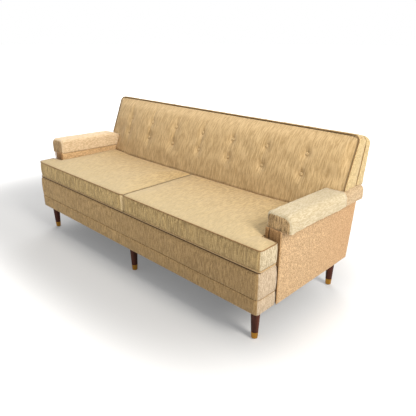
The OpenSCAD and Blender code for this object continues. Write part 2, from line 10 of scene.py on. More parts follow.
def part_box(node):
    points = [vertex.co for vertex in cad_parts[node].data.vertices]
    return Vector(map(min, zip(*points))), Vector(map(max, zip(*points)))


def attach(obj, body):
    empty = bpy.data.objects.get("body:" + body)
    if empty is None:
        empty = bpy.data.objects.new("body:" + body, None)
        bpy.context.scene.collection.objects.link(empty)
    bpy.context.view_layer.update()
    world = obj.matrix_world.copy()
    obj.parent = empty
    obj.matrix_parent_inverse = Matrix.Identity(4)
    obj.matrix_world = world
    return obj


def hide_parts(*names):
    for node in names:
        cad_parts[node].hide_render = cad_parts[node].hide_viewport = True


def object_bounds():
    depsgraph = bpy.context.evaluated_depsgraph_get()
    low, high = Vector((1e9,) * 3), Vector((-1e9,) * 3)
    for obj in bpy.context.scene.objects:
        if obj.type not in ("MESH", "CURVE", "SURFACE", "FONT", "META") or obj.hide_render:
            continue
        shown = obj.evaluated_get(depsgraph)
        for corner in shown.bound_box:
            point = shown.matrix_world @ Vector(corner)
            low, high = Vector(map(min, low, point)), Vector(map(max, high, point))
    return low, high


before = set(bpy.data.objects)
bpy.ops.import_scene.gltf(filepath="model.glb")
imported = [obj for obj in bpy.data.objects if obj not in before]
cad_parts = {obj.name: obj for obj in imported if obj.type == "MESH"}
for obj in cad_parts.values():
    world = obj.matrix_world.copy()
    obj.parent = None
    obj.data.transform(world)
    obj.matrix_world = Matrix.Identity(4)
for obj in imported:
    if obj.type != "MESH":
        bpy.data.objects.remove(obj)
CAD_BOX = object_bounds()

# ---------------------------------------------------------------- sizes, from the frame

FACE_RAKE = 0.4037  # how far the back's face leans back for each metre of height
REAR_RAKE = 0.13  # the same for the outside back
TOP_DEPTH = 0.111  # front welt to rear edge, along the back's top
SEAM_SHARE = 0.58  # where the border's seam runs, from the front welt to the rear edge
BOW = 0.050  # the padded face stands this far in front of its welted edges
FACE_FOOT = 0.478  # below this height the face is upright
WING_Z = 0.575  # the back's wings start here, over the arm pads
CORNER_R = 0.035
ARM_FALL = 0.0235  # the arm tops fall this much for each metre that they run back
PAD_BOTTOM, PAD_TOP = 0.517, 0.584  # the arm pads' heights at the front
PIPING_R = 0.0028
BACK_PIPING_R = 0.0022
TUBE_SIDES = 10

LO, HI = CAD_BOX
PROUD = 0.006  # padded edges stand this far outside the frame's own solids
TOP_Z = HI.z + PROUD
BASE_LO, BASE_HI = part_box("base_band")[0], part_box("base_cover")[1]
BAND_Z = (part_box("base_band")[1].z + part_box("base_cover")[0].z) / 2
ARM_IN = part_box("inside_arm_right")[0].x
ARM_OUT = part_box("outside_arm_right")[1].x
ARM_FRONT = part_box("arm_facings")[0].y
PAD_LO, PAD_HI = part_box("arm_pad_right")
CAP_LO, CAP_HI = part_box("arm_cap_right")
SEAT_LO, SEAT_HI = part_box("cushion_welts_right")
DECK_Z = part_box("seat_deck")[1].z
SIDE_LIMIT = CAP_LO.x - 0.0032  # how far out a cushion may reach beside an arm
BACK_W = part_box("back_border")[1].x + PROUD
WELT_TOP_Y = HI.y - TOP_DEPTH
REAR_TOP_Z = TOP_Z - 0.029
BUTTON_X = np.linspace(-0.7158, 0.7158, 7)
BUTTON_Z = (0.612, 0.709)


def face_y(z):
    """The plane of the back's front welt."""
    return WELT_TOP_Y - FACE_RAKE * (HI.z - z)


def rear_y(z):
    """The plane of the outside back."""
    return HI.y + 0.004 - REAR_RAKE * (REAR_TOP_Z - z)


def smooth(t):
    """0 to 1 with flat ends."""
    t = np.clip(t, 0, 1)
    return t * t * (3 - 2 * t)


def padded_y(x, z):
    """The padded face of the back, bowed forward in the middle and rolled over at the top."""
    bow_x = 1 - np.minimum(np.abs(x) / (BACK_W - 0.009), 1) ** 4
    over = np.maximum(z - BUTTON_Z[1], 0) / (TOP_Z - BUTTON_Z[1])
    return face_y(np.maximum(z, FACE_FOOT)) - BOW * bow_x * (1 - over**2)


def arm_z(z, y):
    """A height on the arm at its front, carried back along its fall."""
    return z - ARM_FALL * (y - ARM_FRONT)


def ripple(points, size, seed, flat=(1, 1, 1)):
    """Smooth seeded noise from -1 to 1 with features about size metres across."""
    random = np.random.default_rng(seed)
    points = np.asarray(points, float) * np.asarray(flat, float)[: np.shape(points)[-1]]
    total = np.zeros(points.shape[:-1])
    for _ in range(9):
        direction = random.normal(size=points.shape[-1])
        direction /= np.linalg.norm(direction)
        pitch = size * random.uniform(0.7, 1.9)
        total += np.sin(points @ direction * 2 * np.pi / pitch + random.uniform(0, 6.28))
    return total / 4.5


# ---------------------------------------------------------------- materials


class Shade:
    """A material's node tree, with short ways to add nodes."""

    def __init__(self, name, roughness=0.8, metallic=0.0, **sockets):
        self.material = bpy.data.materials.new(name)
        self.material.use_nodes = True
        self.tree = self.material.node_tree
        self.bsdf = self.tree.nodes["Principled BSDF"]
        self.bsdf.inputs["Roughness"].default_value = roughness
        self.bsdf.inputs["Metallic"].default_value = metallic
        for key, value in sockets.items():
            self.bsdf.inputs[key.replace("_", " ")].default_value = value
        self.place = self.add("ShaderNodeTexCoord").outputs["Object"]

    def add(self, kind, **values):
        """A node; values are its properties or, where it has none of that name, its inputs."""
        node = self.tree.nodes.new(kind)
        for key, value in values.items():
            if hasattr(node, key):
                setattr(node, key, value)
            else:
                self.put(node.inputs[key], value)
        return node

    def put(self, socket, value):
        if isinstance(value, bpy.types.NodeSocket):
            self.tree.links.new(value, socket)
        else:
            socket.default_value = value

    def math(self, operation, a, b=0.0, clamp=False):
        node = self.add("ShaderNodeMath", operation=operation, use_clamp=clamp)
        self.put(node.inputs[0], a)
        self.put(node.inputs[1], b)
        return node.outputs[0]

    def noise(self, place, scale, detail=2.0, roughness=0.55, stretch=(1, 1, 1)):
        mapped = self.add("ShaderNodeMapping", Scale=stretch, Vector=place).outputs[0]
        node = self.add("ShaderNodeTexNoise", Vector=mapped, Scale=scale, Detail=detail, Roughness=roughness)
        return node.outputs["Fac"]

    def weigh(self, *parts):
        """The sum of values, each times its share."""
        total = self.math("MULTIPLY", *parts[0])
        for value, share in parts[1:]:
            total = self.math("ADD", total, self.math("MULTIPLY", value, share))
        return total

    def level(self, value, low, high, **how):
        """value from low to high, spread over 0 to 1."""
        node = self.add("ShaderNodeMapRange", Value=value, **how)
        node.inputs["From Min"].default_value = low
        node.inputs["From Max"].default_value = high
        return node.outputs[0]

    def mix(self, amount, a, b, blend="MIX"):
        node = self.add("ShaderNodeMix", data_type="RGBA", blend_type=blend)
        self.put(node.inputs[0], amount)
        self.put(node.inputs[6], a)
        self.put(node.inputs[7], b)
        return node.outputs[2]

    def bump(self, height, distance, strength=1.0):
        node = self.add("ShaderNodeBump", Height=height, Distance=distance, Strength=strength)
        self.put(self.bsdf.inputs["Normal"], node.outputs[0])

    def colour(self, value):
        self.put(self.bsdf.inputs["Base Color"], value)
        return self.material


def rgb(r, g, b):
    """An sRGB colour in 0 to 255 as the linear one that a shader takes."""
    def linear(c):
        c /= 255
        return c / 12.92 if c <= 0.04045 else ((c + 0.055) / 1.055) ** 2.4
    return (linear(r), linear(g), linear(b), 1.0)


def tinted(colour, share, tint=(1, 1, 1)):
    """A colour times share and, channel by channel, times tint."""
    return tuple(min(c * share * t, 1.0) for c, t in zip(colour, tint)) + (1.0,)


DARK_TINT, LIGHT_TINT, SOIL_TINT = (1.0, 0.94, 0.82), (1.0, 1.0, 1.02), (0.90, 0.84, 0.78)
SOILING = 0.22  # the most that a soiled patch takes of the soiled colour


def cloth(name, mean, spread, grain="z", streaks=1.0, nubs=1.0, along=0.26, size=1.0, worn=None, relief=0.8):
    """Crinkled gold weave: puffs between short wavy creases along the grain, slubs, nubs, soil and a tone
    ramp.

    worn is an axis, where along it the ramp is full, where it ends, the colour there and its share;
    it paints shade on the front and boxing, a highlight with some wear on the seat top, and a darker rear on
    the side."""
    s = Shade(name, roughness=0.9, Sheen_Weight=0.12, Sheen_Roughness=0.5, Specular_IOR_Level=0.2)
    dark, light = tinted(mean, 1 - spread, DARK_TINT), tinted(mean, 1 + 0.8 * spread, LIGHT_TINT)
    stretch = {"z": (1, 1, along), "raked": (1, along, along), "y": (1, along, 1)}[grain]
    drift = s.add("ShaderNodeTexNoise", Vector=s.place, Scale=9.0, Detail=1.0)
    centred = s.add("ShaderNodeVectorMath", operation="SUBTRACT")
    s.put(centred.inputs[0], drift.outputs["Color"])
    centred.inputs[1].default_value = (0.5, 0.5, 0.5)
    swung = s.add("ShaderNodeVectorMath", operation="SCALE", Scale=0.006)
    s.put(swung.inputs[0], centred.outputs[0])
    moved = s.add("ShaderNodeVectorMath", operation="ADD")
    s.put(moved.inputs[0], s.place)
    s.put(moved.inputs[1], swung.outputs[0])
    wavy = moved.outputs[0]
    ridge = s.noise(wavy, 150.0 / size, 0.0, 0.5, stretch)
    crease = s.math("MULTIPLY", s.math("ABSOLUTE", s.math("SUBTRACT", ridge, 0.5)), 7.0, True)
    slub = s.noise(wavy, 190.0 / size, 1.0, 0.5, stretch)
    nub = s.noise(s.place, 210.0 / size, 1.0, 0.5)
    thread = s.noise(s.place, 620.0, 1.0, 0.5, (0.3, 1, 0.3) if grain == "y" else (0.3, 0.3, 1))
    patch = s.noise(s.place, 3.2, 2.0, 0.5)
    parts = ((crease, 0.26 * streaks), (s.level(slub, 0.40, 0.62), 0.44 * streaks),
             (s.level(nub, 0.42, 0.64), 0.30 * nubs), (s.level(thread, 0.3, 0.7), 0.12))
    whole = sum(share for _, share in parts)
    tone = s.weigh(*((value, share / whole) for value, share in parts))
    woven = s.mix(s.level(tone, 0.14, 0.86), dark, light)
    soiled = s.math("MULTIPLY", s.level(patch, 0.35, 0.75), SOILING, True)
    surface_tone = s.mix(soiled, woven, tinted(mean, 1, SOIL_TINT))
    # a colour ramp along one axis: painted shade on the front and boxing, a painted highlight with some wear
    # on the seat top
    if worn:
        axis, full, none, tint, share = worn
        across = s.add("ShaderNodeSeparateXYZ", Vector=s.place).outputs[axis]
        surface_tone = s.mix(s.math("MULTIPLY", s.level(across, none, full), share), surface_tone, tint)
    height = s.weigh((crease, 0.55 * streaks), (slub, 0.7 * streaks), (nub, 0.7 * nubs), (thread, 0.35))
    s.bump(height, 0.0013, relief)
    return s.colour(surface_tone)


def plain_weave(name, colour, pitch):
    """A plain cloth with a visible over-and-under weave."""
    s = Shade(name, roughness=0.9)
    bands = [s.add("ShaderNodeTexWave", Vector=s.place, Scale=0.5 / pitch, Distortion=1.0,
                   bands_direction=axis).outputs["Fac"] for axis in ("X", "Y")]
    weave = s.math("MULTIPLY", *bands)
    s.bump(weave, 0.0006, 0.8)
    patch = s.noise(s.place, 14.0, 3.0)
    return s.colour(s.mix(s.weigh((weave, 0.5), (patch, 0.5)), tinted(colour, 0.55), colour))


def timber(name, dark, light, roughness, stretch, shine=0.4):
    """Wood with long grain and fine pores."""
    s = Shade(name, roughness=roughness, Specular_IOR_Level=shine)
    rings = s.noise(s.place, 26.0, 4.0, 0.62, stretch)
    pores = s.noise(s.place, 26.0 * 9, 2.0, 0.6, stretch)
    s.bump(pores, 0.0004, 0.5)
    return s.colour(s.mix(s.level(s.weigh((rings, 0.72), (pores, 0.28)), 0.36, 0.64), dark, light))


def metal(name, colour, roughness, stretch=(1, 1, 1)):
    """Brushed and slightly tarnished metal."""
    s = Shade(name, roughness=roughness, metallic=1.0)
    brushed = s.noise(s.place, 900.0, 2.0, 0.6, stretch)
    stain = s.noise(s.place, 60.0, 3.0, 0.6)
    s.bump(brushed, 0.0003, 0.35)
    s.put(s.bsdf.inputs["Roughness"], s.math("ADD", s.math("MULTIPLY", brushed, 0.25), roughness - 0.1))
    tarnish = s.math("MULTIPLY", s.level(stain, 0.4, 0.75), 0.35, True)
    return s.colour(s.mix(tarnish, colour, tinted(colour, 0.45)))


def foam():
    s = Shade("foam", roughness=0.95)
    cells = s.add("ShaderNodeTexVoronoi", Vector=s.place, Scale=420.0)
    s.bump(cells.outputs["Distance"], 0.0012, 0.7)
    return s.colour(s.mix(s.noise(s.place, 9.0, 3.0), rgb(226, 206, 150), rgb(240, 228, 190)))


def nylon():
    s = Shade("nylon", roughness=0.45)
    scuff = s.noise(s.place, 700.0, 2.0)
    s.bump(scuff, 0.0002, 0.4)
    return s.colour(s.mix(scuff, rgb(168, 166, 156), rgb(206, 204, 194)))


M = {
    # painted shade: the base's front darkens towards the right end
    "front": cloth("cloth_front", rgb(168, 139, 93), 0.42, along=0.15,
                   worn=("X", 0.9, -0.3, rgb(118, 94, 64), 0.42)),
    # painted light: a lighter, paler copy of the front cloth for the base's end faces
    "lit_front_end": cloth("cloth_front_end", rgb(172, 154, 130), 0.34, along=0.2, streaks=0.6),
    # painted shade: the boxing darkens from the middle towards the right end
    "boxing": cloth("cloth_boxing", rgb(178, 152, 102), 0.50, along=0.10, size=1.15,
                    worn=("X", 0.9, 0.0, rgb(138, 114, 80), 0.4)),
    # painted light: a lighter copy of the boxing cloth for the cushions' end faces
    "lit_boxing_end": cloth("cloth_boxing_end", rgb(176, 162, 134), 0.36, along=0.2, streaks=0.8),
    "boxing_lit": cloth("cloth_boxing_lit", rgb(214, 192, 148), 0.25, along=0.2, streaks=0.6),
    "back": cloth("cloth_back", rgb(188, 161, 118), 0.24, grain="raked", along=0.12, size=1.1, nubs=0.4,
                  relief=0.55),
    # painted highlight with some wear: the seat top turns lighter and creamier towards the front edge
    "seat_top": cloth("cloth_seat", rgb(171, 144, 98), 0.27, grain="y", streaks=1.2, nubs=0.4, along=0.2,
                      size=1.2, worn=("Y", -0.38, 0.06, rgb(188, 172, 136), 0.6)),
    # darker and more orange towards the rear
    "side": cloth("cloth_side", rgb(178, 149, 112), 0.42, streaks=0.45, nubs=1.4, along=0.5,
                  worn=("Y", 0.36, -0.1, rgb(168, 122, 76), 0.4)),
    "border": cloth("cloth_border", rgb(184, 163, 120), 0.34, streaks=0.6),
    "pad": cloth("cloth_pad", rgb(174, 151, 119), 0.32, grain="y", streaks=0.6),
    # painted light: a lighter copy of the pad cloth for the far arm's padding
    "lit_pad_far": cloth("cloth_pad_far", rgb(198, 166, 124), 0.34, grain="y", streaks=0.6),
    "facing": cloth("cloth_facing", rgb(150, 116, 76), 0.36, streaks=0.8, along=0.15),
    "cap": cloth("cloth_cap", rgb(180, 167, 139), 0.18, grain="y", nubs=0.6),
    # painted shade: a darker copy of the cap cloth for the caps' front faces
    "shaded_cap_front": cloth("cloth_cap_front", rgb(168, 140, 100), 0.60, along=0.15),
    # painted light: a lighter copy of the cap cloth for the far cap
    "lit_cap_far": cloth("cloth_cap_far", rgb(206, 184, 152), 0.22, grain="y", nubs=0.6),
    "button": cloth("cloth_button", rgb(196, 170, 126), 0.3, size=0.6),
    "leg": timber("walnut_lacquer", rgb(40, 17, 11), rgb(86, 42, 27), 0.45, (1, 1, 0.06), shine=0.15),
    "frame": timber("hardwood", rgb(150, 108, 66), rgb(206, 166, 112), 0.7, (0.05, 1, 1)),
    "brass": metal("brass", rgb(178, 128, 52), 0.34, (1, 1, 0.05)),
    "steel": metal("steel", rgb(150, 150, 154), 0.4),
    "zinc": metal("zinc_plate", rgb(186, 188, 192), 0.38),
    "nylon": nylon(),
    "burlap": plain_weave("burlap", rgb(176, 142, 92), 0.0022),
    "deck": plain_weave("deck_cloth", rgb(206, 184, 142), 0.0011),
    "dust": plain_weave("dust_cambric", rgb(44, 42, 42), 0.0012),
    "zip": plain_weave("zip_tape", rgb(176, 152, 108), 0.0008),
    "twine": plain_weave("twine", rgb(210, 196, 160), 0.0008),
    "foam": foam(),
}
# the mid tone is painted shade in the gap between the cushions; the darkest is a painted shadow cord under
# them
for name, mean in {"piping": (136, 105, 66), "gap_shade_piping": (134, 118, 88), "shadow_cord": (84, 58, 30),
                   "piping_light": (178, 150, 108), "arm_piping": (172, 138, 96)}.items():
    M[name] = cloth(f"cloth_{name}", rgb(*mean), 0.3, streaks=0.4)

# ---------------------------------------------------------------- mesh helpers


def make(name, verts, faces, materials, body="frame", replaces=(), face_slots=None):
    """A mesh object from points and faces, riding on a body."""
    mesh = bpy.data.meshes.new(name)
    mesh.from_pydata([tuple(map(float, v)) for v in verts], [], [tuple(map(int, f)) for f in faces])
    mesh.validate()
    for material in materials if isinstance(materials, (list, tuple)) else [materials]:
        mesh.materials.append(material)
    if face_slots is not None:
        mesh.polygons.foreach_set("material_index", np.asarray(face_slots, np.int32))
    mesh.polygons.foreach_set("use_smooth", [True] * len(mesh.polygons))
    mesh.update()
    obj = bpy.data.objects.new(name, mesh)
    bpy.context.scene.collection.objects.link(obj)
    outward(obj)
    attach(obj, body)
    if replaces:
        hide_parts(*replaces)
    return obj


def outward(obj):
    """Turns every face of a closed mesh outwards."""
    work = bmesh.new()
    work.from_mesh(obj.data)
    bmesh.ops.recalc_face_normals(work, faces=work.faces)
    work.to_mesh(obj.data)
    work.free()


def turned_aside(points, faces):
    """1 for each face that looks mostly along X, else 0."""
    points = np.asarray(points)
    slots = []
    for f in faces:
        normal = np.cross(points[f[2]] - points[f[0]], points[f[-1]] - points[f[1]])
        slots.append(int(abs(normal[0]) > 0.5 * np.linalg.norm(normal)))
    return slots


def grid_faces(rows, columns, wrap_rows=False, wrap_columns=False):
    """Quads over points laid out row by row."""
    faces = []
    for r in range(rows if wrap_rows else rows - 1):
        for c in range(columns if wrap_columns else columns - 1):
            row, next_row, c2 = r * columns, (r + 1) % rows * columns, (c + 1) % columns
            faces.append((row + c, row + c2, next_row + c2, next_row + c))
    return faces


def loft(rings):
    """Points and faces of a tube through closed rings with as many points each, closed at its ends."""
    rings = np.asarray(rings, float)
    count, size = rings.shape[:2]
    faces = grid_faces(count, size, wrap_columns=True)
    faces.append(tuple(range(size))[::-1])
    faces.append(tuple((count - 1) * size + i for i in range(size)))
    return rings.reshape(-1, 3), faces


def tube(path, radius, closed=False, sides=TUBE_SIDES):
    """Points and faces of a round cord along a path."""
    path = np.asarray(path, float)
    ahead = np.roll(path, -1, 0) - np.roll(path, 1, 0)
    if not closed:
        ahead[0], ahead[-1] = path[1] - path[0], path[-1] - path[-2]
    ahead /= np.linalg.norm(ahead, axis=1)[:, None]
    reference = np.array([0.13, 0.21, 0.97]) if abs(ahead[:, 2]).max() < 0.9 else np.array([0.2, -0.95, 0.2])
    side = np.cross(ahead, reference)
    side /= np.linalg.norm(side, axis=1)[:, None]
    up = np.cross(side, ahead)
    turns = np.linspace(0, 2 * np.pi, sides, endpoint=False)[None, :, None]
    rings = path[:, None] + radius * (np.cos(turns) * side[:, None] + np.sin(turns) * up[:, None])
    if closed:
        return rings.reshape(-1, 3), grid_faces(len(path), sides, wrap_rows=True, wrap_columns=True)
    return loft(rings)


def arc(centre, radius, start, end, steps=8):
    """Points on a flat arc, angles in degrees."""
    turns = np.radians(np.linspace(start, end, steps))
    return [(centre[0] + radius * math.cos(t), centre[1] + radius * math.sin(t)) for t in turns]


def evenly(path, step, closed=False):
    """A path resampled to about even spacing."""
    path = np.asarray(path, float)
    if closed:
        path = np.vstack([path, path[:1]])
    gone = np.concatenate([[0], np.cumsum(np.linalg.norm(np.diff(path, axis=0), axis=1))])
    count = max(int(round(gone[-1] / step)), 4)
    at = np.linspace(0, gone[-1], count + 1)
    if closed:
        at = at[:-1]
    return np.stack([np.interp(at, gone, path[:, k]) for k in range(path.shape[1])], 1)


def rounded_box_ring(x0, x1, z0, z1, radii, steps):
    """A rounded rectangle in XZ, anticlockwise from the bottom inner corner; radii has one per corner."""
    (a, b, c, d) = radii
    ring = arc((x0 + a, z0 + a), a, 180, 270, steps) + arc((x1 - b, z0 + b), b, 270, 360, steps)
    ring += arc((x1 - c, z1 - c), c, 0, 90, steps) + arc((x0 + d, z1 - d), d, 90, 180, steps)
    return np.array(ring)


SIDES = (("right", 1), ("left", -1))


def on_side(points, sign):
    """Points made for the right side, mirrored where sign is -1."""
    points = np.array(points, float)
    points[..., 0] *= sign
    return points


def outline_normals(path):
    """Unit vectors square to a flat path."""
    along = np.gradient(path, axis=0)
    normal = np.stack([-along[:, 1], along[:, 0]], 1)
    return normal / np.linalg.norm(normal, axis=1)[:, None]

# ---------------------------------------------------------------- camera

CAMERA_AT = Vector((1.8777, LO.y - 1.2741, 1.2899))
CAMERA_TURN, CAMERA_DIP, CAMERA_ROLL = 0.76989, -0.38081, 0.00228  # radians
CAMERA_LENS = 38.627
camera = bpy.data.objects.new("camera", bpy.data.cameras.new("camera"))
camera.data.lens, camera.data.sensor_width = CAMERA_LENS, 36.0
level_ahead = Vector((-math.sin(CAMERA_TURN), math.cos(CAMERA_TURN), 0))
ahead = level_ahead * math.cos(CAMERA_DIP) + Vector((0, 0, math.sin(CAMERA_DIP)))
right = ahead.cross(Vector((0, 0, 1))).normalized()
above = right.cross(ahead)
tilt_c, tilt_s = math.cos(CAMERA_ROLL), math.sin(CAMERA_ROLL)
axes = Matrix((tilt_c * right + tilt_s * above, -tilt_s * right + tilt_c * above, -ahead)).transposed()
camera.matrix_world = Matrix.Translation(CAMERA_AT) @ axes.to_4x4()
bpy.context.scene.collection.objects.link(camera)
bpy.context.scene.camera = camera

# ---------------------------------------------------------------- back

FACE_BOTTOM = 0.352  # the padded face runs down behind the cushions to here
PUFF = 0.019  # how far the back fills out between its buttons
WIDE_PULLS = 3  # the buttons on the left, seen nearly side on, whose folds show deeper and wider


def button_pull(x, z):
    """How far the cloth is drawn in, 0 to 1: a dimple at each button and a fold through each pair."""
    pull = np.zeros_like(x)
    for k, bx in enumerate(BUTTON_X):
        wide = k < WIDE_PULLS
        wander = 0.006 * np.sin(z * 23 + k * 1.7) + 0.05 * (z - 0.66) * (-1 if wide else 0.6)
        for bz in BUTTON_Z:
            r = np.hypot(x - bx, (z - bz) * 0.8)
            pull = np.maximum(pull, np.exp(-((r / (0.028 if wide else 0.021)) ** 1.5)))
        reach = 0.105 if k < 2 else 0.075
        span = np.clip(np.minimum(z - (BUTTON_Z[0] - reach), BUTTON_Z[1] + reach - z) / reach, 0, 1)
        width = 0.011 + 0.010 * (1 - span)
        depth = (0.80 if wide else 0.50 if k == WIDE_PULLS else 0.26) * span**1.1
        pull = np.maximum(pull, depth * np.exp(-(((x - bx - wander) / width) ** 2)))
    return pull


def back_face():
    """The tufted front of the back: puffed between the buttons, pulled into folds through them."""
    edge, seat_side, top = BACK_W - 0.0045, ARM_IN - 0.0045, TOP_Z - 0.0095
    wing = np.linspace(seat_side, edge, 18)[1:]
    xs = np.concatenate([-wing[::-1], np.linspace(-seat_side, seat_side, 289), wing])
    zs = np.concatenate([np.linspace(FACE_BOTTOM, WING_Z, 38)[:-1], np.linspace(WING_Z, top, 44)])
    x, z = np.meshgrid(xs, zs)
    from_side, from_top = edge - np.abs(x), top - z
    inset_x, inset_top = smooth(from_side / 0.055), smooth(from_top / 0.045)
    by_arm = smooth((np.abs(x) - 0.74) / 0.105) * smooth((0.70 - z) / 0.09)
    above_seat = z - SEAT_HI.z
    foot = (0.25 + 0.75 * smooth(above_seat / 0.13)) * smooth((above_seat + 0.04) / 0.035)
    puff = PUFF * (1 - button_pull(x, z)) * np.minimum(inset_x, inset_top) * (1 - by_arm) * foot
    flat = np.stack([x, z], -1)
    uneven = 0.0016 * ripple(flat, 0.09, 5) + 0.0003 * ripple(flat, 0.035, 6, (1, 0.25))
    rolled = (1 - smooth(from_side / 0.012)) ** 2 + (1 - smooth(from_top / 0.012)) ** 2
    y = padded_y(x, z) - puff - uneven * inset_top * inset_x + 0.004 * rolled - 0.0005
    shown_x = np.abs(xs[1:] + xs[:-1]) / 2 < seat_side
    shown_z = (zs[1:] + zs[:-1]) / 2 > WING_Z - 0.008
    shown = (shown_z[:, None] | shown_x[None]).ravel()
    faces = [f for f, keep in zip(grid_faces(len(zs), len(xs)), shown) if keep]
    return np.stack([x, y, z], -1).reshape(-1, 3), faces


def thicken(points, faces, offset):
    """A closed slab: the surface, its copy moved by offset, and walls along its open edges."""
    used = np.unique(np.array([i for f in faces for i in f]))
    index = {int(v): k for k, v in enumerate(used)}
    faces = [tuple(index[i] for i in f) for f in faces]
    points = np.asarray(points)[used]
    n = len(points)
    behind = offset(points) if callable(offset) else points + np.asarray(offset)
    edges = {}
    for f in faces:
        for a, b in zip(f, f[1:] + f[:1]):
            edges[(a, b)] = edges.get((a, b), 0) + 1
    rim = [(a, b) for (a, b) in edges if (b, a) not in edges]
    walls = [(b, a, a + n, b + n) for a, b in rim]
    return np.vstack([points, behind]), faces + [tuple(i + n for i in f[::-1]) for f in faces] + walls


def pad_rear(points):
    """The hidden rear of the padding, over the frame."""
    behind = points.copy()
    behind[:, 1] = face_y(np.maximum(points[:, 2], FACE_FOOT)) + 0.040
    behind[:, 2] -= 0.010 * smooth((points[:, 2] - 0.6) / 0.2)
    return behind


points, faces = thicken(*back_face(), pad_rear)
back_pad = make("back_cushioning", points, faces, M["back"], replaces=["back_pad"])


def back_outline(inset, z_foot, step=0.012):
    """The back's outline as [x, z]: up the left side, round the corners and down the right."""
    half, top, r = BACK_W - inset, TOP_Z - inset, max(CORNER_R - inset, 0.004)
    path = [(-half, z_foot), (-half, top - r)] + arc((-half + r, top - r), r, 180, 90)
    path += arc((half - r, top - r), r, 90, 0) + [(half, z_foot)]
    return evenly(path, step)


def walled(outer, normal, across, thickness):
    """A closed band: lines of points along it, with a second set moved in along the normals.

    across is the pair of axes that the normals lie in."""
    outer = np.array(outer)
    inner = outer.copy()
    inner[..., across] -= normal * thickness
    return loft(np.concatenate([outer, inner[::-1]]).transpose(1, 0, 2))


def border_line(path, share):
    """x, y and z along the border, at a share of the way from the front welt to the rear edge."""
    drop = (TOP_Z - REAR_TOP_Z) * share * smooth((path[:, 1] - (TOP_Z - 0.12)) / 0.12)
    z = path[:, 1] - drop
    return np.stack([path[:, 0], face_y(path[:, 1]) * (1 - share) + rear_y(z) * share, z], 1)


# shares across the border, closer where its edges roll over and at its seam
BORDER_SHARES = (0.0, 0.03, 0.08, 0.18, 0.3, 0.42, 0.5, 0.545, 0.565, SEAM_SHARE,
                 0.595, 0.615, 0.66, 0.75, 0.85, 0.93, 0.97, 0.99, 1.0)
BORDER_CROWN, STRIP_CROWN, SEAM_DIP, REAR_ROLL = 0.0046, 0.0042, 0.0030, 0.006


def border_band():
    """The boxed border from the front welt to the seam, and the strip from the seam to the rear edge."""
    path = back_outline(0.0, WING_Z - 0.006)
    normal = outline_normals(path)
    outer = []
    for share in BORDER_SHARES:
        line = border_line(path, share)
        past_seam = max(share - SEAM_SHARE, 0) / (1 - SEAM_SHARE)
        crown = BORDER_CROWN * math.sin(math.pi * min(share / SEAM_SHARE, 1)) ** 0.6
        crown += STRIP_CROWN * math.sin(math.pi * past_seam) ** 0.6
        crown -= SEAM_DIP * math.exp(-(((share - SEAM_SHARE) / 0.02) ** 2))
        crown -= REAR_ROLL * (max(share - 0.95, 0) / 0.05) ** 2
        lump = 0.0009 * ripple(np.stack([path[:, 0], path[:, 1] + share, line[:, 1]], 1), 0.05, 8)
        line[:, [0, 2]] += normal * (crown - 0.0022 + lump)[:, None]
        outer.append(line)
    return walled(outer, normal, [0, 2], 0.006)


points, faces = border_band()
make("back_border_cover", points, faces, M["border"], replaces=["back_border"])


def border_seam():
    """The thin corded seam between the border and the rear strip."""
    line = border_line(back_outline(-0.0004, WING_Z - 0.004, 0.008), SEAM_SHARE)
    points, faces = tube(line, 0.0014, sides=8)
    return points, faces, [int(points[f[0]][2] > REAR_TOP_Z - 0.03) for f in faces]


points, faces, on_top = border_seam()
make("back_border_seam", points, faces, [M["piping"], M["border"]], face_slots=on_top)


def rear_panel():
    """The outside back: one flat panel with softly rounded edges, drawn tight over the frame."""
    xs, zs = np.linspace(-1, 1, 121), np.linspace(0, 1, 53)
    u, v = np.meshgrid(xs, zs)
    foot, top = BASE_LO.z + 0.001, REAR_TOP_Z - 0.003
    z = foot + (top - foot) * v
    half = np.where(z > WING_Z - 0.004, BACK_W - 0.004, ARM_OUT - 0.0085)
    top_corner = np.minimum(np.clip((z - (top - CORNER_R)) / CORNER_R, 0, 1), 0.98)
    x = np.sign(u) * np.minimum(np.abs(u * half), half - CORNER_R * (1 - np.sqrt(1 - top_corner**2)))
    edge = np.clip(np.minimum((half - np.abs(x)) / 0.03, np.minimum(1 - v, v) * 20), 0, 1)
    swell = 0.0040 * np.sqrt(edge) + 0.0016 * ripple(np.stack([x, z], -1), 0.3, 12)
    flat = np.stack([x, rear_y(z) - 0.006 + swell, z], -1).reshape(-1, 3)
    return thicken(flat, grid_faces(len(zs), len(xs)), (0, -0.006, 0))


points, faces = rear_panel()
make("outside_back_cover", points, faces, M["side"], replaces=["outside_back"])

welt_path = back_outline(0.0036, WING_Z, 0.008)
welt_y = face_y(welt_path[:, 1]) - 0.0030
points, faces = tube(np.stack([welt_path[:, 0], welt_y, welt_path[:, 1]], 1), BACK_PIPING_R)
make("back_piping", points, faces, M["piping"], replaces=["back_welt"])

# ---------------------------------------------------------------- base


def base_path(out):
    """The base's plan line from the right arm round the front to the left arm, as [x, y]."""
    half, front, r = BASE_HI.x + out, BASE_LO.y - out, 0.014 + out
    path = [(half, BASE_HI.y), (half, front + r)] + arc((half - r, front + r), r, 0, -90)
    return path + arc((-half + r, front + r), r, -90, -180) + [(-half, BASE_HI.y)]


def base_skin(z_low, z_high, profile, seed):
    """A band of padded cloth round the base; profile is how far it stands out at shares of its height."""
    core = evenly(base_path(0.0), 0.012)
    normal = outline_normals(core)
    normal *= np.sign((normal * core).sum(1))[len(core) // 2]
    outer = []
    for share, out in profile:
        line = np.column_stack([core, np.full(len(core), z_low + (z_high - z_low) * share)])
        soft = 0.0016 * ripple(line, 0.16, seed, (1, 1, 0.6))
        soft += 0.0007 * ripple(line, 0.045, seed + 1, (1, 1, 0.3))
        line[:, :2] += normal * (out + soft * min(share, 1 - share) * 4)[:, None]
        outer.append(line)
    return walled(outer, normal, [0, 1], 0.005)


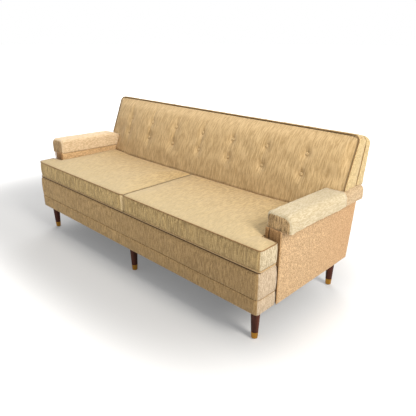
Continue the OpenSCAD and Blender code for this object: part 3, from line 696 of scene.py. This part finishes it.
# each is (share of the height, how far the cloth stands out there)
BORDER_ROLL = (
    (0.0, -0.0050), (0.006, -0.0022), (0.02, -0.0006), (0.06, 0.0003), (0.15, 0.0008), (0.35, 0.0010),
    (0.6, 0.0006), (0.80, -0.0004), (0.87, -0.0022), (0.92, -0.0052), (0.955, -0.0088), (0.98, -0.0130),
    (1.0, -0.0190))
BAND_ROLL = (
    (0.0, -0.0060), (0.01, -0.0026), (0.05, -0.0004), (0.2, 0.0010), (0.5, 0.0018), (0.8, 0.0016),
    (0.93, 0.0008), (0.98, -0.0012), (1.0, -0.0045))
BASE_SKINS = (("base_border_cover", "base_cover", BAND_Z + 0.0003, DECK_Z, BORDER_ROLL, 21),
              ("base_band_cover", "base_band", BASE_LO.z, BAND_Z - 0.0003, BAND_ROLL, 31))
for name, stands_for, z_low, z_high, profile, seed in BASE_SKINS:
    points, faces = base_skin(z_low, z_high, profile, seed)
    # the end faces take the lighter copy of the front cloth: painted light
    make(name, points, faces, [M["front"], M["lit_front_end"]], replaces=[stands_for],
         face_slots=turned_aside(points, faces))

# painted shadow: a dark cord tucked into the roll under the cushions stands for the shadow in the gap there
shadow_line = np.array(base_path(-0.0062))
shadow_line = evenly(np.column_stack([shadow_line, np.full(len(shadow_line), DECK_Z - 0.0052)]), 0.01)
points, faces = tube(shadow_line, 0.0019)
make("base_shadow_cord", points, faces, M["shadow_cord"])

# ---------------------------------------------------------------- arms


def slab(corners, normal, swell, across=40, seed=1, wall=0.005):
    """A padded panel over four corners (bottom front, bottom rear, top rear, top front), round-edged."""
    a, b, c, d = (np.asarray(p, float) for p in corners)
    normal = np.asarray(normal, float)
    up = 24
    s, t = np.meshgrid(np.linspace(0, 1, across), np.linspace(0, 1, up))
    s, t = s[..., None], t[..., None]
    flat = (a * (1 - s) + b * s) * (1 - t) + (d * (1 - s) + c * s) * t
    width, height = np.linalg.norm(b - a), np.linalg.norm(d - a)
    inset = np.minimum(np.minimum(s, 1 - s) * width, np.minimum(t, 1 - t) * height)[..., 0]
    roll = np.sqrt(1 - (1 - np.clip(inset / 0.006, 0, 1)) ** 2)
    out = swell * roll + 0.0008 * ripple(flat, 0.12, seed) * roll
    surface = flat + out[..., None] * normal
    return thicken(surface.reshape(-1, 3), grid_faces(up, across), -normal * wall)


def outside_arm(sign):
    """The outer side panel, following the fall of the arm and the rake of the back."""
    y0, foot, top = ARM_FRONT + 0.0035, BASE_LO.z + 0.0005, 0.5150
    grid_t = np.concatenate([[0, 0.004, 0.012, 0.03], np.linspace(0.06, 0.96, 26), [0.985, 1.0]])
    grid_s = np.concatenate([[0, 0.004, 0.01, 0.02], np.linspace(0.04, 0.97, 40), [0.985, 0.995, 1.0]])
    s, t = np.meshgrid(grid_s, grid_t)
    y = y0 + (rear_y(foot + (top - foot) * t) - y0) * s
    z = foot + (arm_z(top, y) - foot) * t
    inset = np.minimum(np.minimum(s, 1 - s) * 0.64, np.minimum(t, 1 - t) * 0.35)
    roll = np.sqrt(1 - (1 - np.clip(inset / 0.010, 0, 1)) ** 2)
    spots = np.stack([y, z], -1)
    out = roll * (0.0042 + 0.0012 * ripple(spots, 0.22, 41 + sign) + 0.0004 * ripple(spots, 0.06, 44))
    surface = np.stack([sign * (ARM_OUT - 0.0055 + out), y, z], -1).reshape(-1, 3)
    return thicken(surface, grid_faces(len(grid_t), len(grid_s)), (-sign * 0.005, 0, 0))


def arm_rings(x0, x1, z0, z1, stations, radii):
    """Rounded cross-sections along the arm; each station is (y, shrink) and shrink rounds the ends over."""
    rings = []
    for y, shrink in stations:
        ring = rounded_box_ring(x0 + shrink, x1 - shrink, z0 + shrink * 0.6, z1 - shrink, radii, 7)
        rings.append(np.stack([ring[:, 0], np.full(len(ring), y), arm_z(ring[:, 1], y)], 1))
    return np.array(rings)


def end_round(y0, y1, r_front, r_rear):
    """Stations from y0 to y1 with quarter-round ends."""
    turns = np.linspace(0, np.pi / 2, 7)
    front = [(y0 + r_front * (1 - math.sin(t)), r_front * (1 - math.cos(t)) * 0.9) for t in turns[::-1]]
    rear = [(y1 - r_rear * (1 - math.sin(t)), r_rear * (1 - math.cos(t)) * 0.9) for t in turns]
    middle = [(y, 0.0) for y in np.linspace(y0 + r_front, y1 - r_rear, int((y1 - y0) / 0.014))[1:-1]]
    return front + middle + rear


def push_out(grid, middle_x, middle_z, amount):
    """Moves an arm's cross-sections away from the line through their middles."""
    way = (grid - (middle_x, 0, middle_z)) * (1, 0, 1)
    way /= np.linalg.norm(way, axis=2)[..., None] + 1e-9
    return grid + way * amount[..., None]


def arm_pad():
    """The padded arm top, a little higher where it runs in under the back."""
    stations = end_round(PAD_LO.y, PAD_HI.y + 0.010, 0.016, 0.024)
    rings = arm_rings(PAD_LO.x - 0.001, PAD_HI.x + 0.001, PAD_BOTTOM - 0.0016, PAD_TOP, stations,
                      (0.005, 0.006, 0.032, 0.016))
    lumps = ripple(rings, 0.07, 71) * 0.0008
    rings[..., 2] += 0.008 * smooth((rings[..., 1] - 0.19) / 0.06) * (rings[..., 2] > 0.535)
    return push_out(rings, (PAD_LO.x + PAD_HI.x) / 2, (PAD_BOTTOM + PAD_TOP) / 2, lumps - 0.0006)


inside_lo, inside_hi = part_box("inside_arm_right")
for side, sign in SIDES:
    # the far arm takes the lighter copy of the pad cloth: painted light
    pad_cloth = M["pad" if sign > 0 else "lit_pad_far"]
    points, faces = outside_arm(sign)
    make(f"outside_arm_cover_{side}", points, faces, M["side"],
         replaces=[f"outside_arm_{side}"])

    x, y0, y1 = ARM_IN + 0.004, ARM_FRONT + 0.003, inside_hi.y
    z0, z1 = inside_lo.z, PAD_BOTTOM - 0.0005
    corners = [(x, y0, z0), (x, y1, z0), (x, y1, arm_z(z1, y1)), (x, y0, arm_z(z1, y0))]
    points, faces = slab(on_side(corners, sign), (-sign, 0, 0), 0.0045, seed=51 + sign)
    make(f"inside_arm_cover_{side}", points, faces, pad_cloth,
         replaces=[f"inside_arm_{side}"])

    inner, outer = ARM_IN + 0.0005, ARM_OUT - 0.0075
    for part, x0, x1 in (("inner", inner, inner + 0.019), ("outer", inner + 0.021, outer)):
        corners = [(x0, y0, z0), (x1, y0, z0), (x1, y0, z1), (x0, y0, z1)]
        points, faces = slab(on_side(corners, sign), (0, -1, 0), 0.0040, across=14, seed=61, wall=0.003)
        make(f"arm_facing_{part}_{side}", points, faces, M["facing"],
             replaces=["arm_facings"] if part == "outer" and sign > 0 else [])

    welt_z = np.linspace(BASE_LO.z + 0.004, PAD_BOTTOM - 0.003, 40)
    welt = [(ARM_OUT - PIPING_R, ARM_FRONT, z) for z in welt_z]
    points, faces = tube(on_side(welt, sign), PIPING_R)
    make(f"arm_piping_{side}", points, faces, M["arm_piping"],
         replaces=["arm_welts"] if sign > 0 else [])

    points, faces = loft(on_side(arm_pad(), sign))
    pad = make(f"arm_pad_cover_{side}", points, faces, pad_cloth,
               replaces=[f"arm_pad_{side}"])


CAP_NOSE = 0.020  # the cap's front edge rolls over in this length
CAP_MITRE = 0.125  # the folded flap on the cap's outer side reaches this far back


def cap_profile(x0, x1, z0, z1):
    """The cap's cross-section over the arm, from the inner hem to the outer hem, as [x, z]."""
    profile = [(x0, z) for z in np.linspace(z0, z1 - 0.021, 8)]
    profile += arc((x0 + 0.018, z1 - 0.018), 0.018, 180, 90, 8)
    profile += [(x, z1) for x in np.linspace(x0 + 0.022, x1 - 0.041, 14)]
    profile += arc((x1 - 0.036, z1 - 0.036), 0.036, 90, 0, 12)
    profile += [(x1, z) for z in np.linspace(z1 - 0.041, z0, 14)]
    return np.array(profile)


def arm_cap_mesh(seed, puff):
    """A loose cap over the arm, closed over the front and open underneath; puff is how much looser it is."""
    x0, x1 = CAP_LO.x, CAP_HI.x + 0.4 * puff
    y0, y1 = CAP_LO.y, CAP_HI.y + 0.003
    z0, z1 = PAD_BOTTOM + 0.0005 - 0.4 * puff, PAD_TOP + 0.0040 + puff
    profile = cap_profile(x0, x1, z0, z1)
    mid_x = (x0 + x1) / 2
    nose = y0 + CAP_NOSE * (1 - np.sin(np.linspace(0.12, np.pi / 2, 8)))
    straight = np.linspace(y1, y0 + 0.13, 28)[:-1]
    stations = np.concatenate([straight, np.linspace(y0 + 0.13, y0 + 0.03, 26), nose])
    rows = []
    for y in stations:
        near = max(y0 + CAP_NOSE - y, 0) / CAP_NOSE
        pull_in = 0.017 * (1 - math.sqrt(max(1 - near**2, 0)))
        x = mid_x + (profile[:, 0] - mid_x) * (1 - pull_in / ((x1 - x0) / 2))
        z = profile[:, 1]
        z = np.where(z > z0 + 0.01, z - pull_in * (z - z0) / (z1 - z0), z)
        snug = smooth((y - (y1 - 0.05)) / 0.05)
        z = z * (1 - snug) + np.clip(z, z0 + 0.4 * puff, z1 - puff - 0.0016) * snug
        x = x * (1 - snug) + np.clip(x, x0 + 0.0014, x1 - 0.0014) * snug
        by_outer_hem = np.exp(-(((x - x1) / 0.03) ** 2) - ((z - z0) / 0.02) ** 2)
        z = z - 0.0055 * math.exp(-(((y - y0) / 0.03) ** 2)) * by_outer_hem
        crease = (z - z0) / (z1 - z0) - 0.72 * (1 - (y - y0) / 0.11)
        lap = 0.0030 * (1 - smooth(crease / 0.07 + 0.5)) - 0.0012 * np.exp(-(((crease - 0.05) / 0.05) ** 2))
        x = x + (x > mid_x + 0.04) * lap * smooth((y0 + CAP_MITRE - y) / 0.012)
        rows.append(np.stack([x, np.full(len(x), y), arm_z(z, y)], 1))
    last, base = rows[-1], arm_z(z0, y0)
    for share in (0.94, 0.86, 0.7, 0.5, 0.25, 0.02):
        x, z = mid_x + (last[:, 0] - mid_x) * share, base + (last[:, 2] - base) * share
        rows.append(np.stack([x, np.full(len(x), y0 - 0.0006 * (1 - share)), z], 1))
    grid = np.array(rows)
    rumple = 0.0011 * ripple(grid, 0.055, seed) + 0.0004 * ripple(grid, 0.022, seed + 1, (1, 0.5, 1))
    grid = push_out(grid, mid_x, (z0 + z1) / 2, rumple)
    on_front = [int(r >= len(stations) - 3) for r in range(len(grid) - 1) for _ in range(len(profile) - 1)]
    return grid.reshape(-1, 3), grid_faces(len(grid), len(profile)), on_front


for side, sign in SIDES:
    points, faces, on_front = arm_cap_mesh(81 + sign, 0.0 if sign > 0 else 0.014)
    # painted shade on the caps' front faces, and painted light over the whole far cap
    cap = make(f"arm_cap_cover_{side}", on_side(points, sign), faces,
               [M["cap" if sign > 0 else "lit_cap_far"], M["shaded_cap_front"]], face_slots=on_front,
               body=f"arm_cap_{side}", replaces=[f"arm_cap_{side}"])
    shell = cap.modifiers.new("cloth_thickness", "SOLIDIFY")
    shell.thickness, shell.offset = 0.0014, -1.0

# ---------------------------------------------------------------- seat cushions

GRID = 0.012
BOXING_LEVELS = 9  # rows of faces up the boxing
DOME = 0.014  # how far the top panel is crowned before it is filled
FILL_LIMIT = 0.012  # the most that filling the cover may move a point
SEAT_H = SEAT_HI.z - SEAT_LO.z
# how far a cushion's cover, and then its piping, stay from the deck, the back and the middle line
DECK_GAP, BACK_GAP, MIDDLE_GAP = 0.0008, 0.0080, 0.0008
PIPING_DECK_GAP, PIPING_BACK_GAP, PIPING_MIDDLE_GAP = 0.0006, 0.0075, 0.0007
SEAM_OUT = 0.0016  # how far the piping's middle stands out from the seam
PLEAT_PITCH, GATHER_PITCH = 0.0165, 0.021


def outer_loop(quads):
    """The points round the open edge of a sheet of quads, in order."""
    edges = {(a, b) for f in quads for a, b in zip(f, f[1:] + f[:1])}
    follow = {a: b for a, b in edges if (b, a) not in edges}
    loop = [next(iter(follow))]
    while follow[loop[-1]] != loop[0]:
        loop.append(follow[loop[-1]])
    return loop


def cushion_mesh(corner, middle):
    """The right-hand cushion's closed quad mesh, its faces' kinds (0 top, 1 bottom, 2 boxing) and seams."""
    inset = 0.002
    xi, xs, xe = SEAT_LO.x + inset, ARM_IN - 0.0045 - inset, SEAT_HI.x - inset
    yf, ye = SEAT_LO.y - 0.0015, ARM_FRONT - 0.0065 - inset
    z0, z1 = SEAT_LO.z + 0.002, SEAT_HI.z - 0.0004
    m1, m2 = int(round((xs - xi) / GRID)), int(round((xe - xs) / GRID))
    n1, n2 = int(round((ye - yf) / GRID)), 34  # rows in front of the arm and beside it
    columns = np.concatenate([np.linspace(xi, xs, m1 + 1), np.linspace(xs, xe, m2 + 1)[1:]])

    def rear(x):
        return padded_y(x, SEAT_HI.z) - 0.005 - inset

    index, flat = {}, []
    for j in range(n1 + n2 + 1):
        for i in range(len(columns)):
            if j > n1 and i > m1:
                continue
            x = columns[i]
            y = yf + (ye - yf) * j / n1 if j <= n1 else ye + (rear(x) - ye) * (j - n1) / n2
            index[(i, j)] = len(flat)
            flat.append([x, y])
    flat = np.array(flat)
    for cx, r, way in ((xe, corner, 1), (xi, middle, -1)):
        p = 1 - np.clip((cx - flat[:, 0]) * way / r, 0, 1)
        q = 1 - np.clip((flat[:, 1] - yf) / r, 0, 1)
        near = (p > 0) & (q > 0)
        flat[near, 0] = cx - way * r * (1 - (p * np.sqrt(1 - q * q / 2))[near])
        flat[near, 1] = yf + r * (1 - (q * np.sqrt(1 - p * p / 2))[near])
    quads = []
    for (i, j), a in index.items():
        b, c, d = index.get((i + 1, j)), index.get((i + 1, j + 1)), index.get((i, j + 1))
        if None not in (b, c, d):
            quads.append((a, b, c, d))
    loop = outer_loop(quads)
    n, around = len(flat), len(loop)
    verts = [np.column_stack([flat, np.full(n, z)]) for z in (z1, z0)]
    faces = quads + [tuple(v + n for v in f[::-1]) for f in quads]
    panels = len(faces)
    rows = [loop]
    for level in range(1, BOXING_LEVELS):
        verts.append(np.column_stack([flat[loop], np.full(around, z1 + (z0 - z1) * level / BOXING_LEVELS)]))
        rows.append([2 * n + (level - 1) * around + k for k in range(around)])
    rows.append([v + n for v in loop])
    for above_row, below_row in zip(rows, rows[1:]):
        for k in range(around):
            k2 = (k + 1) % around
            faces.append((above_row[k], below_row[k], below_row[k2], above_row[k2]))
    kinds = [0] * len(quads) + [1] * (panels - len(quads)) + [2] * (len(faces) - panels)
    return np.vstack(verts), faces, kinds, loop, rows[-1]


def puff_up(obj, pinned, pressure, frames):
    """Cloth simulation with air inside: the seams hold, the panels fill out."""
    group = obj.vertex_groups.new(name="seams")
    group.add(pinned, 1.0, "REPLACE")
    modifier = obj.modifiers.new("cloth", "CLOTH")
    settings = modifier.settings
    settings.quality = 6
    settings.mass = 0.4
    settings.tension_stiffness = settings.compression_stiffness = 22
    settings.shear_stiffness = 10
    settings.bending_stiffness = 1.2
    settings.use_pressure = True
    settings.uniform_pressure_force = pressure
    settings.vertex_group_mass = "seams"
    settings.pin_stiffness = 1.0
    settings.shrink_min = -0.004
    settings.effector_weights.gravity = 0.0
    scene = bpy.context.scene
    modifier.point_cache.frame_start, modifier.point_cache.frame_end = 1, frames
    for number in range(1, frames + 1):
        scene.frame_set(number)
    settled = obj.evaluated_get(bpy.context.evaluated_depsgraph_get())
    filled = np.array([v.co for v in settled.data.vertices], float)
    obj.modifiers.remove(modifier)
    obj.vertex_groups.clear()
    scene.frame_set(1)
    return filled


def relax(points, faces, pinned):
    """Moves every loose point half way to its neighbours' mean, twice."""
    loose = np.ones(len(points), bool)
    loose[pinned] = False
    pairs = np.array([(a, b) for f in faces for a, b in zip(f, f[1:] + f[:1])])
    for _ in range(2):
        total, count = np.zeros_like(points), np.zeros(len(points))
        np.add.at(total, pairs[:, 0], points[pairs[:, 1]])
        np.add.at(count, pairs[:, 0], 1)
        points[loose] = 0.5 * points[loose] + 0.5 * (total / count[:, None])[loose]


def loop_outward(loop, sign):
    """Unit vectors in plan that point out of a seam loop; sign is -1 where it is mirrored."""
    ahead = np.roll(loop, -1, 0) - np.roll(loop, 1, 0)
    out = sign * np.column_stack([ahead[:, 1], -ahead[:, 0]])
    return out / np.linalg.norm(out, axis=1)[:, None]


def hold_boxing(boxing, flat_boxing, around, out):
    """Puts boxing that the filling drew in back on its flat line, clear of the foam."""
    walls = boxing.reshape(-1, around, 3)
    sunk = np.minimum(((walls - flat_boxing.reshape(walls.shape))[..., :2] * out).sum(-1), 0)
    walls[..., :2] -= sunk[..., None] * out


def pleat_boxing(boxing, sign):
    """The crinkles and the belly of the boxing along the front."""
    height = (SEAT_HI.z - boxing[:, 2]) / SEAT_H
    belly = np.sin(np.pi * np.clip(height, 0, 1))
    lean = boxing[:, 0] + 0.012 * belly
    pleat = np.sin(lean * 2 * np.pi / PLEAT_PITCH + 2.2 * ripple(boxing, 0.12, 93 + sign))
    strength = 0.35 + 0.65 * np.clip(ripple(boxing, 0.3, 97 + sign, (1, 1, 0)) + 0.5, 0, 1)
    on_front = boxing[:, 1] < SEAT_LO.y + 0.03
    boxing[:, 1] -= on_front * belly**0.7 * (0.0017 * pleat * strength + 0.0030)


def fill_end(points, sign):
    """The outer end's belly, fuller on the left cushion."""
    end = smooth((np.abs(points[:, 0]) - (SEAT_HI.x - 0.05)) / 0.05) * (0.35 if sign > 0 else 1.0)
    rise = np.clip((points[:, 2] - SEAT_LO.z) / SEAT_H, 0, 1)
    points[:, 0] += sign * end * 0.005 * np.sin(np.pi * rise)


def rumple_top(top, reach, sign):
    """The soft unevenness of the top panel, and the gathers along its front seam."""
    inner = smooth(reach / 0.02)
    waves, wrinkles = ripple(top, 0.22, 101 + sign), ripple(top, 0.06, 103 + sign, (1, 0.5, 1))
    top[:, 2] += inner * (0.0022 * waves + 0.0007 * wrinkles)
    gathers = np.sin(top[:, 0] * 2 * np.pi / GATHER_PITCH + 3 * ripple(top, 0.2, 107))
    top[:, 2] += inner * smooth((SEAT_LO.y + 0.12 - top[:, 1]) / 0.12) * 0.0010 * gathers


def clear_neighbours(points, sign):
    """Keeps a cushion off the deck, the back, the arm and the other cushion."""
    points[:, 2] = np.maximum(points[:, 2], DECK_Z + DECK_GAP)
    depth_limit = padded_y(points[:, 0], np.clip(points[:, 2], SEAT_LO.z, SEAT_HI.z)) - BACK_GAP
    across = np.abs(points[:, 0])
    behind = across < ARM_IN
    points[behind, 1] = np.minimum(points[behind, 1], depth_limit[behind])
    beside = points[:, 1] > ARM_FRONT - 0.004
    across = np.maximum(np.minimum(across, np.where(beside, SIDE_LIMIT, SEAT_HI.x + 0.010)), MIDDLE_GAP)
    points[:, 0] = sign * across
    wing = (across > ARM_IN - 0.002) & (points[:, 1] > ARM_FRONT - 0.05)
    points[wing, 1] = np.minimum(points[wing, 1], ARM_FRONT - 0.0045)


def piping_rear(path, radius):
    """How far back a cushion's piping may run, clear of the back."""
    return padded_y(path[:, 0], SEAT_LO.z) - PIPING_BACK_GAP - radius


def piping_path(seam, sign, lift, radius):
    """A piping's path along a seam, clear of the deck, the back, the arm and the other cushion."""
    path = seam.copy()
    path[:, :2] += loop_outward(path, sign) * SEAM_OUT
    path[:, 1] = np.minimum(path[:, 1], piping_rear(path, radius))
    path[:, 2] = np.maximum(path[:, 2] + lift, DECK_Z + PIPING_DECK_GAP + radius)
    across = np.maximum(np.abs(path[:, 0]), PIPING_MIDDLE_GAP + radius)
    beside = path[:, 1] > ARM_FRONT - 0.006 - radius
    path[:, 0] = sign * np.where(beside, np.minimum(across, SIDE_LIMIT - radius), across)
    return evenly(path, 0.008, closed=True)


def piping_shade_tones(path, radius):
    """0 for pale piping; 1, dark, painted shade at the front, the rear and in front of the arm; 2, a mid
    tone, painted shade between the cushions.
    """
    across = np.abs(path[:, 0])
    at_rear = path[:, 1] > piping_rear(path, radius) - 0.004
    dark = (path[:, 1] < SEAT_LO.y + 0.010) | at_rear | (across > ARM_IN + 0.01)
    return np.where(dark, 1, np.where(across < 0.012, 2, 0))


for side, sign in SIDES:
    body = f"seat_cushion_{side}"
    points, faces, kinds, seam_top, seam_bottom = cushion_mesh(0.014 if sign > 0 else 0.028, 0.014)
    points = on_side(points, sign)
    flat_points, seams = points.copy(), seam_top + seam_bottom
    n_flat = (len(points) - len(seam_top) * (BOXING_LEVELS - 1)) // 2
    gaps = points[:n_flat, None, :2] - points[seam_top][None, :, :2]
    reach = np.min(np.linalg.norm(gaps, axis=2), axis=1)  # how far each top point is from the seam
    points[:n_flat, 2] += DOME * (0.75 * (1 - np.exp(-reach / 0.075)) + 0.25 * (1 - np.exp(-reach / 0.012)))

    # the end faces take the lighter copy of the boxing cloth: painted light
    cloths = 1 + np.array(turned_aside(points, faces))
    centres = np.array([points[list(f)].mean(0) for f in faces])
    if sign < 0:  # the left cushion's inner front corner catches the light
        cloths[(np.abs(centres[:, 0]) < 0.020) & (centres[:, 1] < SEAT_LO.y + 0.028)] = 3
    cloths[np.array(kinds) == 0] = 0
    cushion = make(f"seat_cushion_cover_{side}", points, faces,
                   [M["seat_top"], M["boxing"], M["lit_boxing_end"], M["boxing_lit"]],
                   body=body, face_slots=cloths,
                   replaces=[f"cushion_panels_{side}", f"cushion_boxing_{side}"])
    move = puff_up(cushion, seams, 2.0, 20) - points
    size = np.linalg.norm(move, axis=1)
    points = points + move * np.minimum(1, FILL_LIMIT / np.maximum(size, 1e-9))[:, None]
    relax(points, faces, seams)
    boxing = points[2 * n_flat:]
    hold_boxing(boxing, flat_points[2 * n_flat:], len(seam_top), loop_outward(flat_points[seam_top], sign))
    pleat_boxing(boxing, sign)
    fill_end(points, sign)
    rumple_top(points[:n_flat], reach, sign)
    clear_neighbours(points, sign)
    cushion.data.vertices.foreach_set("co", points.ravel())
    cushion.data.update()
    rounding = cushion.modifiers.new("subdivide", "SUBSURF")
    rounding.levels = rounding.render_levels = 1

    pipings = (("top", seam_top, 0.0004, 0.0024), ("bottom", seam_bottom, 0.0010, PIPING_R))
    for name, seam, lift, radius in pipings:
        path = piping_path(points[seam], sign, lift, radius)
        tones = piping_shade_tones(path, radius) * (name == "top")
        points_round, faces_round = tube(path, radius, closed=True)
        make(f"cushion_piping_{name}_{side}", points_round, faces_round,
             [M["piping_light"], M["piping"], M["gap_shade_piping"]], body=body,
             face_slots=[tones[f[0] // TUBE_SIDES] for f in faces_round],
             replaces=[f"cushion_welts_{side}"] if name == "top" else [])

# ---------------------------------------------------------------- carried-over CAD nodes

FINISH = {
    "frame": ["front_rail", "back_rail", "side_rail_left", "side_rail_right", "center_rail",
              "corner_blocks", "arm_posts", "arm_rail_left", "arm_rail_right", "back_posts",
              "back_top_rail", "back_lower_rail"],
    "steel": ["seat_springs", "back_springs", "spring_clips"],
    "burlap": ["spring_burlap"],
    "deck": ["seat_deck"],
    "dust": ["dust_cover"],
    "button": ["back_buttons"],
    "twine": ["button_twine"],
    "foam": ["cushion_core_left", "cushion_core_right"],
    "zip": ["zip_tape_left", "zip_tape_right"],
    "brass": ["zip_slider_left", "zip_slider_right", "leg_ferrules"],
    "leg": [f"leg_{row}_{place}" for row in ("front", "rear") for place in ("left", "center", "right")],
    "nylon": ["leg_glides"],
    "zinc": ["leg_bolts", "leg_plates", "plate_screws"],
}
for finish, nodes in FINISH.items():
    for node in nodes:
        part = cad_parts[node]
        part.data.materials.clear()
        part.data.materials.append(M[finish])

# ---------------------------------------------------------------- floor and light

floor_shade = Shade("floor", roughness=0.9, Emission_Color=(1, 1, 1, 1))
spot = floor_shade.add("ShaderNodeSeparateXYZ", Vector=floor_shade.place)


def floor_axis(axis, middle, reach):
    """How far off the middle of the floor's painted-shadow patch, as the fourth power of its share of the
    patch's reach.
    """
    offset = floor_shade.math("DIVIDE", floor_shade.math("SUBTRACT", spot.outputs[axis], middle), reach)
    return floor_shade.math("POWER", floor_shade.math("ABSOLUTE", offset), 4.0)


# painted shadow: the floor is a soft pale grey where the sofa stands, as a wide soft shadow, and white all
# round it
away = floor_shade.math("ADD", floor_axis("X", -0.55, 1.72), floor_axis("Y", 0.0, 0.98))
grade = floor_shade.level(away, 0.15, 1.0, interpolation_type="SMOOTHSTEP")
floor_shade.colour(floor_shade.mix(grade, rgb(168, 168, 168), rgb(214, 214, 214)))
# painted light: the floor glows, faintly round the sofa to lift its shadow and brighter far off, where it
# reads white
glow = floor_shade.math("ADD", 0.16, floor_shade.math("MULTIPLY", floor_shade.level(away, 1.0, 60.0), 0.5))
floor_shade.put(floor_shade.bsdf.inputs["Emission Strength"], glow)
FLOOR_R, FLOOR_SIDES = 40.0, 96
turns = np.linspace(0, 2 * math.pi, FLOOR_SIDES, endpoint=False)
rim = [(FLOOR_R * math.cos(t), FLOOR_R * math.sin(t), 0) for t in turns]
floor_mesh = bpy.data.meshes.new("floor")
floor_mesh.from_pydata(rim, [], [tuple(range(FLOOR_SIDES))])
floor_mesh.materials.append(floor_shade.material)
floor = bpy.data.objects.new("floor", floor_mesh)
bpy.context.scene.collection.objects.link(floor)

world = bpy.data.worlds.new("studio")
world.use_nodes = True
sky = world.node_tree
towards = sky.nodes.new("ShaderNodeTexCoord").outputs["Generated"]
facing = sky.nodes.new("ShaderNodeVectorMath")
facing.operation = "DOT_PRODUCT"
facing.inputs[1].default_value = (-0.25, 0.97, 0.0)
sky.links.new(towards, facing.inputs[0])
fade = sky.nodes.new("ShaderNodeMapRange")
fade.interpolation_type = "SMOOTHSTEP"
for key, value in (("From Min", -0.5), ("From Max", 0.6), ("To Min", 0.66), ("To Max", 1.0)):
    fade.inputs[key].default_value = value
sky.links.new(facing.outputs["Value"], fade.inputs["Value"])
sky.links.new(fade.outputs["Result"], sky.nodes["Background"].inputs["Strength"])
sky.nodes["Background"].inputs["Color"].default_value = (1.0, 1.0, 1.0, 1.0)
bpy.context.scene.world = world
bpy.context.scene.view_settings.view_transform = "Standard"


def area_light(name, at, towards, size, power, colour=(1, 1, 1)):
    data = bpy.data.lights.new(name, "AREA")
    data.shape, data.size, data.size_y, data.energy, data.color = "RECTANGLE", size[0], size[1], power, colour
    lamp = bpy.data.objects.new(name, data)
    lamp.location = at
    lamp.rotation_euler = (Vector(towards) - Vector(at)).to_track_quat("-Z", "Y").to_euler()
    bpy.context.scene.collection.objects.link(lamp)


area_light("key", (7.0, -0.55, 5.4), (0.0, 0.1, 0.4), (2.2, 4.0), 660, (1.0, 0.96, 0.90))
area_light("overhead", (-0.4, 0.05, 3.6), (-0.4, 0.05, 0.4), (3.0, 0.9), 26, (1.0, 0.98, 0.94))
area_light("wash", (-5.0, 5.5, 5.0), (-4.0, 4.5, 0), (5.0, 5.0), 340, (1.0, 1.0, 1.0))
